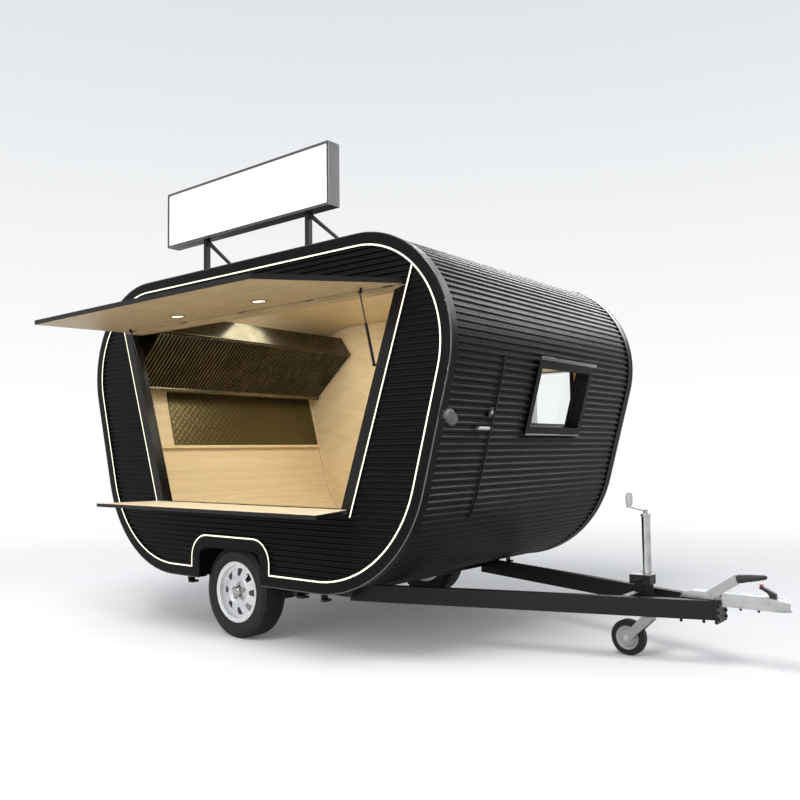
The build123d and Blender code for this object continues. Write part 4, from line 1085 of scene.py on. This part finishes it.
@dataclass
class Awning(Assembly):
    """Lamps of the awning flap and hinge knuckles of both flaps."""

    lamp_x: Pair = (-214.0, 556.0)
    lamp_reach: float = 250.0
    lamp_radius: float = 48.0

    def lamps(self) -> None:
        """Set two flat lamps into the flap's underside."""
        down = (0.0, math.sin(AWNING_DROOP), -math.cos(AWNING_DROOP))
        y = HINGE_Y - self.lamp_reach * math.cos(AWNING_DROOP)
        z = AWNING_HINGE_Z - self.lamp_reach * math.sin(AWNING_DROOP)
        r, bore = self.lamp_radius, self.lamp_radius - 11.0
        ring = [(bore, 0.4), (r, 0.4), (r, 3.0), (r - 3.0, 5.0), (r - 8.0, 5.0), (bore, 3.2), (bore, 0.4)]
        lens = [(0.0, 0.4), (r - 11.4, 0.4), (r - 11.4, 3.0), (r - 20.0, 4.2), (0.0, 4.8)]
        for name, x in zip(("rear", "front"), self.lamp_x):
            self.flat_lamp("awning_lamp_{}_" + name, "awning", (x, y, z), down, ring, lens)

    def knuckles(self) -> None:
        """Put hinge knuckles along the awning's and the shelf's pins."""
        profile = [(3.8, -34.0), (6.2, -34.0), (6.6, -33.0), (6.6, 33.0), (6.2, 34.0), (3.8, 34.0), (3.8, -34.0)]
        for body, z, half in (("awning", AWNING_HINGE_Z, 1200.0), ("shelf", SILL_Z, 780.0)):
            shaper = Shaper()
            for i in range(5):
                mid = HATCH_MID_X - half + half * i / 2.0
                shaper.turned(profile, (mid, HINGE_Y, z), (1.0, 0.0, 0.0), 16)
            self.add(body + "_knuckles", shaper, Finishes.SATIN, body)

    def build(self) -> None:
        """Build every fitting of the flaps."""
        self.lamps()
        self.knuckles()


@dataclass
class Kitchen(Assembly):
    """Baffles, gutter and lamps of the kitchen end."""

    fascia: Pair = (-965.0, 2068.0)
    lip: Pair = (-1400.0, 1680.0)
    span: Pair = (-985.0, 1056.0)
    pitch: float = 32.0
    ceiling_z: float = 2336.0

    def baffles(self) -> None:
        """Line the hood's sloping mouth with folded baffle bars."""
        along = Vector((self.lip[0] - self.fascia[0], 0.0, self.lip[1] - self.fascia[1]))
        out = Vector((-along.z, 0.0, along.x))
        place = on_slope((self.fascia[0], self.span[0], self.fascia[1]), along, out)
        width = self.span[1] - self.span[0]
        bars = Shaper().block((14.0, 9.0, 0.6), (along.length - 8.0, 23.0, 10.0), 3.0, 1, place)
        bars.repeated(int((width - 24.0) / self.pitch), (0.0, self.pitch, 0.0))
        self.add("hood_baffles", bars, Finishes.BAFFLE)
        rail = Shaper().block((4.0, 2.0, 0.5), (18.0, width - 2.0, 13.0), 2.0, 2, place)
        self.add("baffle_rail", rail, Finishes.HOOD)

    def lip_gutter(self) -> None:
        """Fold a grease gutter along the hood's lower lip and a roll along its fascia."""
        x, z = self.lip
        y0, y1 = self.span
        gutter = Shaper().block((x - 6.0, y0, z - 16.0), (x + 26.0, y1, z - 1.0), 3.0, 3)
        gutter.block((x + 22.0, y0, z - 16.0), (x + 28.0, y1, z + 16.0), 2.0)
        self.add("hood_gutter", gutter, Finishes.LIP)
        x, z = self.fascia[0] + 2.0, self.fascia[1]
        self.add("fascia_roll", Shaper().rod((x, y0, z), (x, y1, z), 8.0, 16, 1.5), Finishes.HOOD)

    def ceiling_lamps(self) -> None:
        """Hang two flat lamps from the ceiling."""
        ring = [(70.0, 0.5), (92.0, 0.5), (92.0, 12.0), (86.0, 18.0), (74.0, 18.0), (70.0, 14.0), (70.0, 0.5)]
        lens = [(0.0, 0.5), (69.6, 0.5), (69.6, 13.0), (55.0, 16.0), (0.0, 18.0)]
        for name, x in (("rear", -560.0), ("front", 520.0)):
            at = (x, -150.0, self.ceiling_z)
            self.flat_lamp("cabin_lamp_{}_" + name, "trailer", at, (0.0, 0.0, -1.0), ring, lens)

    def build(self) -> None:
        """Build every fitting of the kitchen."""
        self.baffles()
        self.lip_gutter()
        self.ceiling_lamps()


@dataclass
class FrontFace(Assembly):
    """Seam, lock, position lamp and window trim of the front wall."""

    seam_y: float = -600.0
    seam_z: Pair = (780.0, 1690.0)
    flat_z: Pair = (955.0, 1581.0)
    rivets: int = 10
    lock_at: Pair = (-640.0, 1382.0)
    window_y: Pair = (-234.0, 466.0)
    window_z: Pair = (1269.0, 1699.0)

    @staticmethod
    def place(y: float, z: float, out: float = 0.0) -> Matrix:
        """A place on the front wall with x down the slope and z outward."""
        return on_slope(front_point(y, z, out), (-math.sin(TAPER), 0.0, -math.cos(TAPER)), FRONT_OUT)

    def seam(self) -> None:
        """Cover the sheet's joint with a flat strip and rivets."""
        top, foot = TOP_RADIUS - CREST_INSET, LOW_RADIUS - CREST_INSET
        start = math.asin((TOP_MID[1] - self.seam_z[1]) / top)
        stop = math.asin((LOW_MID[1] - self.seam_z[0]) / foot)
        over = Vector((BODY_MID_X + TOP_MID[0], 0.0, TOP_MID[1]))
        under = Vector((BODY_MID_X + LOW_MID[0], 0.0, LOW_MID[1]))
        out = Vector((math.cos(start), 0.0, -math.sin(start)))
        loop = [
            over + out * (top + rise) + Vector((0.0, self.seam_y + half, 0.0))
            for rise, half in ((-0.4, -9.0), (2.6, -9.0), (3.4, -7.5), (3.4, 7.5), (2.6, 9.0), (-0.4, 9.0))
        ]
        slope = under + FRONT_OUT * foot - over - FRONT_OUT * top
        strip = Shaper().trail(loop, [(over, TAPER - start, 6), (slope,), (under, stop - TAPER, 8)])
        self.add("seam_strip", strip, Finishes.TRIM)
        rivets = Shaper()
        low, high = self.flat_z
        for i in range(self.rivets):
            at = front_point(self.seam_y, low + 30.0 + i * (high - low - 60.0) / (self.rivets - 1), 3.2)
            rivets.rod(at, at + FRONT_OUT * 2.2, 4.0, 12, 0.8, 3.0)
        self.add("seam_rivets", rivets, Finishes.SATIN)

    def lock(self) -> None:
        """Fit the locker's lock plate, its cylinder and a small pull."""
        plate = Shaper().block((-26.0, -20.0, 0.2), (26.0, 20.0, 5.0), 2.0, 3, self.place(*self.lock_at))
        self.add("lock_plate", plate, Finishes.SATIN)
        drum = [(0.0, 0.0), (11.0, 0.0), (11.0, 6.0), (9.5, 8.0), (3.0, 8.0), (3.0, 5.0), (0.0, 5.0)]
        cylinder = Shaper().turned(drum, front_point(*self.lock_at, 5.0), FRONT_OUT, 24)
        self.add("lock_cylinder", cylinder, Finishes.ZINC)
        at = self.place(-700.0, 1296.0)
        pull = Shaper().block((-9.0, -58.0, 16.0), (9.0, 58.0, 24.0), 4.0, 3, at)
        for end in (-48.0, 48.0):
            pull.block((-7.0, end - 7.0, 0.2), (7.0, end + 7.0, 17.0), 2.0, 2, at)
        self.add("locker_pull", pull, Finishes.ZINC)

    def marker(self) -> None:
        """Fit an oval position lamp on a rubber stalk at the rim's front corner."""
        at = self.place(-1098.0, 1358.0, 4.0)
        stalk = Shaper().block((-22.0, -20.0, 0.2), (22.0, 20.0, 9.0), 4.0, 3, at)
        stalk.block((-14.0, -13.0, 8.0), (14.0, 13.0, 42.0), 5.0, 3, at)
        self.add("position_lamp_stalk", stalk, Finishes.GRIP)
        tilted = at @ Matrix.Rotation(math.radians(-35.0), 4, "Z")
        lens = Shaper().block((-30.0, -50.0, 36.0), (30.0, 50.0, 80.0), 21.0, 6, tilted)
        self.add("position_lamp_lens", lens, Finishes.FROST)

    def window_trim(self) -> None:
        """Fit the gutter over the window, its sill bead and the pane's seal."""
        y0, y1 = self.window_y
        run = y1 - y0
        top, low = self.place(y0, self.window_z[1]), self.place(y0, self.window_z[0])
        gutter = Shaper().block((-16.0, -13.0, 0.2), (-6.0, run + 13.0, 22.0), 3.0, 3, top)
        gutter.block((-26.0, -13.0, 18.0), (-6.0, run + 13.0, 23.0), 2.0, 2, top)
        self.add("window_gutter", gutter, Finishes.EDGE)
        sill = Shaper().block((1.0, 0.0, 0.2), (12.0, run, 14.0), 3.0, 3, low)
        self.add("window_sill_bead", sill, Finishes.EDGE)
        seal = Shaper()
        for y in (44.0, run - 50.0):
            seal.block((-395.0, y, -66.0), (-50.0, y + 6.0, -60.0), 2.0, 2, low)
        for x in (-50.0, -400.0):
            seal.block((x, 46.0, -66.0), (x + 6.0, run - 46.0, -60.0), 2.0, 2, low)
        self.add("window_seal", seal, Finishes.GRIP)

    def build(self) -> None:
        """Build every fitting of the front wall."""
        self.seam()
        self.lock()
        self.marker()
        self.window_trim()


@dataclass
class RoadWheel(Assembly):
    """Treaded tyre, nuts, cap, bead and valve of one road wheel."""

    side: Side
    pitches: int = 76
    half: float = 87.5
    hub_face: float = 55.5
    nut_circle: float = 47.0
    nuts: int = 5

    @property
    def centre(self) -> Vector:
        """The wheel's middle."""
        return Vector((AXLE_X, self.side.value * WHEEL_Y, TYRE_RADIUS))

    @property
    def axis(self) -> Vector:
        """The direction outward along the wheel's axis."""
        return Vector((0.0, self.side.value, 0.0))

    def add_here(self, name: str, shaper: Shaper, finish: Finish) -> bpy.types.Object:
        """Make a piece that turns with this wheel."""
        return self.add(f"{name}_{self.side.label}", shaper, finish, "wheel_" + self.side.label)

    def tyre(self) -> None:
        """Turn the tyre's carcass with its sidewall beads and set the tread blocks on it."""
        flank = [
            (r, self.half + out)
            for r, out in (
                (174.0, -21.5), (196.0, -6.0), (204.0, -2.6), (208.0, -1.0), (212.0, -1.0), (214.0, -2.2),
                (233.0, -0.4), (246.0, -0.6), (248.0, 0.4), (252.0, 0.2), (254.0, -1.6), (266.0, -6.6),
                (277.0, -13.0), (285.0, -26.0), (287.2, -40.0),
            )
        ]
        profile = [(r, -y) for r, y in flank] + flank[::-1]
        carcass = Shaper().turned(profile, self.centre, self.axis, 96)
        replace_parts(self.add_here("tyre_carcass", carcass, Finishes.RUBBER), "tyre_" + self.side.label)
        tread = Shaper()
        for y, width, length, low, high, skew in (
            (0.0, 22.0, 22.0, 284.0, 291.3, 0.0),
            (-26.0, 23.0, 21.6, 284.0, 291.3, 5.0), (26.0, 23.0, 21.6, 284.0, 291.3, -5.0),
            (-52.0, 22.0, 21.4, 282.0, 290.4, 2.0), (52.0, 22.0, 21.4, 282.0, 290.4, -2.0),
            (-71.0, 11.0, 20.8, 274.0, 284.4, 0.0), (71.0, 11.0, 20.8, 274.0, 284.4, 0.0),
        ):
            tread.block(
                (AXLE_X - length / 2 + skew, self.centre.y + y - width / 2, TYRE_RADIUS + low),
                (AXLE_X + length / 2 + skew, self.centre.y + y + width / 2, TYRE_RADIUS + high), 1.6, 1,
            )
        self.add_here("tyre_tread", tread.ringed(self.pitches, self.centre), Finishes.RUBBER)

    def hub(self) -> None:
        """Fit the nuts, the bright cap, the rim's bead and the valve."""
        axis = self.axis
        face, rim = self.centre + axis * self.hub_face, self.centre + axis * (self.half - 10.0)
        base = face + Vector((0.0, 0.0, self.nut_circle))
        nuts = Shaper().rod(base, base + axis * 13.0, 11.0, 6, 1.5)
        nuts.rod(base + axis * 12.0, base + axis * 21.0, 6.0, 12, 1.5)
        nuts.rod(base - axis * 1.0, base + axis * 2.0, 14.0, 20, 0.8)
        self.add_here("wheel_nuts", nuts.ringed(self.nuts, self.centre), Finishes.ZINC)
        cap = [
            (33.6, 1.0), (36.0, 1.0), (36.0, 5.0), (34.0, 7.0), (33.4, 24.0), (29.0, 29.0), (20.0, 32.0),
            (8.0, 32.5), (0.0, 32.5),
        ]
        self.add_here("hub_cap", Shaper().turned(cap, face, axis, 40), Finishes.CHROME)
        lip = [
            (181.0, 0.0), (187.5, -0.5), (191.0, 1.6), (191.5, 4.0), (188.5, 5.6), (184.0, 4.6), (181.0, 2.0),
            (181.0, 0.0),
        ]
        self.add_here("rim_bead", Shaper().turned(lip, rim, axis, 72), Finishes.RIM)
        foot = self.centre + axis * (self.half - 30.0) + Vector((104.0, 0.0, 118.0))
        valve = Shaper().rod(foot, foot + axis * 16.0, 5.0, 14, 1.0)
        valve.rod(foot + axis * 15.0, foot + axis * 27.0, 3.6, 12, 1.0)
        self.add_here("tyre_valve", valve, Finishes.GRIP)

    def build(self) -> None:
        """Build the wheel's pieces."""
        self.tyre()
        self.hub()


@dataclass
class Underbody(Assembly):
    """Brackets under the floor, and bolts and dressing of the drawbar."""

    bracket_x: tuple[Pair, ...] = ((-560.0, -500.0), (470.0, 560.0), (700.0, 745.0))
    bracket_y: Pair = (985.0, 1050.0)

    def brackets(self) -> None:
        """Weld jacking brackets under the floor's edge on both sides."""
        for side in Side:
            shaper = Shaper()
            y0, y1 = sorted(side.value * y for y in self.bracket_y)
            for x0, x1 in self.bracket_x:
                mid = (x0 + x1) / 2
                shaper.block((x0, y0, 352.0), (x1, y1, 365.6), 2.0)
                shaper.block((x0 + 6.0, y0 + 8.0, 312.0), (mid - 6.0, y1 - 8.0, 353.0), 2.0)
                shaper.block((mid - 12.0, y0 + 4.0, 304.0), (x1 - 2.0, y1 - 4.0, 318.0), 2.0)
            self.add("jacking_brackets_" + side.label, shaper, Finishes.CHASSIS)

    def bolts(self) -> None:
        """Put bolts through the head plate, the beams and the coupling's flange."""
        shaper = Shaper()
        for y in (-58.0, 58.0):
            for z in (268.0, 300.0, 334.0):
                shaper.rod((2653.5, y, z), (2663.0, y, z), 9.0, 6, 1.0)
        for x, out in ((2470.0, 100.4), (2580.0, 69.6)):
            for y in (-out, out):
                shaper.rod((x, y, 262.5), (x, y, 244.0), 8.0, 6, 1.0)
        for x in (2760.0, 2850.0):
            for y in (-34.0, 34.0):
                shaper.rod((x, y, 334.2), (x, y, 322.0), 7.0, 6, 1.0)
        self.add("drawbar_bolts", shaper, Finishes.CHASSIS)

    def coupling_dress(self) -> None:
        """Add the coupling's indicator, its ribs and the lever's grip."""
        red = Shaper().block((2850.0, -9.0, 436.0), (2868.0, 9.0, 462.0), 3.0, 3)
        self.add("lock_indicator", red, Finishes.RED)
        ribs = Shaper().block((2690.0, -39.2, 366.0), (2905.0, -37.4, 374.0), 0.8, 1)
        ribs.block((2690.0, 37.4, 366.0), (2905.0, 39.2, 374.0), 0.8, 1)
        self.add("coupling_ribs", ribs, Finishes.ZINC)
        profile = [
            (0.0, -2.0), (19.0, -2.0), (22.0, 1.0), (22.5, 14.0), (20.5, 40.0), (17.0, 90.0), (12.5, 132.0),
            (10.0, 143.0), (5.0, 147.0), (0.0, 147.5),
        ]
        grip = Shaper().turned(profile, (2756.0, -52.0, 486.0), (140.0, 0.0, 20.0), 28)
        self.add("lever_grip", grip, Finishes.GRIP)

    def build(self) -> None:
        """Build every piece under the floor."""
        self.brackets()
        self.bolts()
        self.coupling_dress()


@dataclass
class ParkingJack(Assembly):
    """Clamp handle, crank grip, collars and castor nuts and rings of the jack."""

    clamp: Pair = (2215.0, 436.0)

    def clamp_handle(self) -> None:
        """Screw the T-handle into the clamp block."""
        x, z = self.clamp
        handle = Shaper().rod((x, -41.5, z), (x, -84.0, z), 7.0, 16, 1.0)
        handle.rod((x - 35.0, -82.0, z - 12.0), (x + 35.0, -82.0, z + 12.0), 5.5, 14, 2.0)
        handle.rod((x, -41.8, z), (x, -52.0, z), 15.0, 6, 1.5)
        self.add("clamp_handle", handle, Finishes.CHASSIS)

    def crank_grip(self) -> None:
        """Turn the crank's plastic grip and the tube's collars."""
        up = (0.0, 0.0, 1.0)
        profile = [
            (9.0, 34.0), (16.0, 34.0), (17.0, 40.0), (18.5, 62.0), (20.0, 88.0), (19.0, 104.0), (14.0, 114.0),
            (5.0, 118.0), (0.0, 118.0),
        ]
        self.add("crank_grip", Shaper().turned(profile, (JACK_X - 96.0, 0.0, 800.0), up, 28), Finishes.KNOB)
        collars = Shaper()
        for z, tall in ((470.0, 10.0), (786.0, 14.0)):
            foot, head = [(24.3, 0.0), (27.0, 0.0), (28.0, 1.5)], [(28.0, tall - 1.5), (27.0, tall), (24.3, tall)]
            collars.turned(foot + head + foot[:1], (JACK_X, 0.0, z), up, 32)
        self.add("tube_collars", collars, Finishes.ZINC)

    def castor_ends(self) -> None:
        """Fit a washer and nut on each end of the castor's pin and a ring on each side of its disc."""
        profile = [
            (48.0, 22.5), (52.0, 25.5), (58.0, 28.3), (62.0, 28.6), (62.0, 26.0), (52.0, 22.0), (48.0, 22.5),
        ]
        for side in Side:
            axis = Vector((0.0, side.value, 0.0))
            nut = Shaper().rod(CASTOR + axis * 42.0, CASTOR + axis * 50.0, 13.0, 6, 1.2)
            nut.rod(CASTOR + axis * 40.3, CASTOR + axis * 43.0, 17.0, 24, 0.6)
            self.add("castor_nut_" + side.label, nut, Finishes.ZINC, "jack_fork")
            ring = Shaper().turned(profile, CASTOR, axis, 48)
            self.add("castor_ring_" + side.label, ring, Finishes.CASTING, "jack_wheel")

    def build(self) -> None:
        """Build the jack's fittings."""
        self.clamp_handle()
        self.crank_grip()
        self.castor_ends()


@dataclass
class RoofSign(Assembly):
    """Border and bolts of the blank roof sign."""

    x: Pair = (-705.0, 855.0)
    z: Pair = (2610.0, 2990.0)
    front_y: float = -1105.0
    border: float = 14.0
    post_x: Pair = (-330.0, 640.0)

    def frame(self) -> None:
        """Run a slim border round the face."""
        (x0, x1), (z0, z1) = self.x, self.z
        x2, x3, z2, z3 = x0 + self.border, x1 - self.border, z0 + self.border, z1 - self.border
        shaper = Shaper()
        for left, low, right, high in ((x0, z0, x1, z2), (x0, z3, x1, z1), (x0, z2, x2, z3), (x3, z2, x1, z3)):
            shaper.block((left, self.front_y - 7.0, low), (right, self.front_y - 0.3, high), 1.5)
        self.add("sign_border", shaper, Finishes.SIGN_SIDE)

    def post_bolts(self) -> None:
        """Bolt the posts' foot plates to the roof."""
        shaper = Shaper()
        for x in (post + along for post in self.post_x for along in (-38.0, 130.0, 298.0)):
            for y in (-1082.0, -1038.0):
                shaper.rod((x, y, 2399.8), (x, y, 2407.0), 8.0, 6, 1.0)
                shaper.rod((x, y, 2406.5), (x, y, 2411.0), 4.5, 12, 0.8)
        self.add("post_bolts", shaper, Finishes.ZINC)

    def build(self) -> None:
        """Build the sign's pieces."""
        self.frame()
        self.post_bolts()


@dataclass
class FarSide(Assembly):
    """Handle, hinge leaves and seal of the entry door on the far side."""

    door_x: Pair = (300.0, 862.0)
    hinge_z: Point = (660.0, 1280.0, 1900.0)
    face_y: float = 1117.0
    inner_y: float = 1072.0

    def handle(self) -> None:
        """Fit the door's lever handle on its plate."""
        x, y = self.door_x[0] + 52.0, self.face_y
        plate = Shaper().block((x - 22.0, y + 0.3, 1190.0), (x + 22.0, y + 7.0, 1370.0), 4.0, 3)
        self.add("door_handle_plate", plate, Finishes.SATIN, "door")
        lever = Shaper().rod((x, y + 6.0, 1310.0), (x, y + 46.0, 1310.0), 10.0, 20, 2.0)
        lever.block((x - 10.0, y + 36.0, 1299.0), (x + 118.0, y + 50.0, 1321.0), 6.0, 4)
        self.add("door_handle_lever", lever, Finishes.ZINC, "door")

    def hinges(self) -> None:
        """Lay a leaf with its screws on the door at each pin."""
        x, y = self.door_x[1], self.face_y
        shaper = Shaper()
        for z in self.hinge_z:
            shaper.block((x - 62.0, y + 0.3, z - 40.0), (x - 2.0, y + 4.0, z + 40.0), 1.2)
            for screw in (z - 24.0, z, z + 24.0):
                shaper.rod((x - 34.0, y + 3.8, screw), (x - 34.0, y + 6.0, screw), 5.0, 12, 0.8)
        self.add("door_hinge_leaves", shaper, Finishes.ZINC, "door")

    def seal(self) -> None:
        """Run a rubber stop round the door's opening, behind its running gap."""
        rear, front = self.door_x
        back, face, top = self.inner_y - 11.0, self.inner_y - 0.2, 2094.0
        shaper = Shaper()
        for x0, x1, low in (
            (front - 14.0, front + 18.0, 490.0), (rear - 18.0, rear + 14.0, 690.0),
            (rear + 12.0, front - 12.0, 2066.0),
        ):
            shaper.block((x0, back, low), (x1, face, top), 3.0, 3)
        self.add("door_seal", shaper, Finishes.GRIP)

    def build(self) -> None:
        """Build the door's fittings."""
        self.handle()
        self.hinges()
        self.seal()


@dataclass
class RearEnd(Assembly):
    """Lamps and the bare plate holder on the rear wall's lower curve."""

    lamp_z: float = 700.0
    lamp_y: float = 840.0

    @staticmethod
    def place(y: float, z: float) -> Matrix:
        """A place on the rear wall's curve with x up the surface and z outward."""
        drop = LOW_MID[1] - z
        run = math.sqrt((LOW_RADIUS - CREST_INSET) ** 2 - drop**2)
        out = Vector((-run, 0.0, -drop)).normalized()
        at = (BODY_MID_X - LOW_MID[0] - run, y, z)
        return on_slope(at, (out.z, 0.0, -out.x), out)

    def lamps(self) -> None:
        """Fit a lamp cluster on each side, with its amber lens outboard."""
        lenses = (("red", Finishes.RED, (-140.0, 44.0)), ("amber", Finishes.AMBER, (50.0, 140.0)))
        for side in Side:
            at = self.place(side.value * self.lamp_y, self.lamp_z)
            base = Shaper().block((-62.0, -150.0, 0.2), (62.0, 150.0, 34.0), 6.0, 3, at)
            self.add("rear_lamp_base_" + side.label, base, Finishes.GRIP)
            for name, finish, ends in lenses:
                y0, y1 = sorted(side.value * y for y in ends)
                lens = Shaper().block((-52.0, y0, 32.0), (52.0, y1, 44.0), 8.0, 4, at)
                self.add(f"rear_lamp_{name}_{side.label}", lens, finish)

    def plate_holder(self) -> None:
        """Fit a bare plate holder and its lamp in the middle."""
        at = self.place(0.0, self.lamp_z)
        holder = Shaper().block((-62.0, -265.0, 4.0), (62.0, 265.0, 10.0), 4.0, 3, at)
        for y in (-180.0, 180.0):
            holder.block((-20.0, y - 20.0, 0.2), (20.0, y + 20.0, 5.0), 1.5, 2, at)
        self.add("plate_holder", holder, Finishes.GRIP)
        lamp = Shaper().block((68.0, -50.0, 0.2), (96.0, 50.0, 26.0), 6.0, 3, at)
        self.add("plate_lamp", lamp, Finishes.GRIP)

    def build(self) -> None:
        """Build the rear wall's fittings."""
        self.lamps()
        self.plate_holder()


def main() -> None:
    """Build the studio, dress the solids and add the fittings."""
    logging.basicConfig(level=logging.INFO, format="%(message)s")
    finishes = Finishes()
    Studio().build()
    for kind in (Cladding, BodyTrim, Awning, Kitchen, FrontFace):
        kind(finishes).build()
    for side in Side:
        RoadWheel(finishes, side).build()
    for kind in (Underbody, ParkingJack, RoofSign, FarSide, RearEnd):
        kind(finishes).build()


if __name__ == "__main__":
    main()
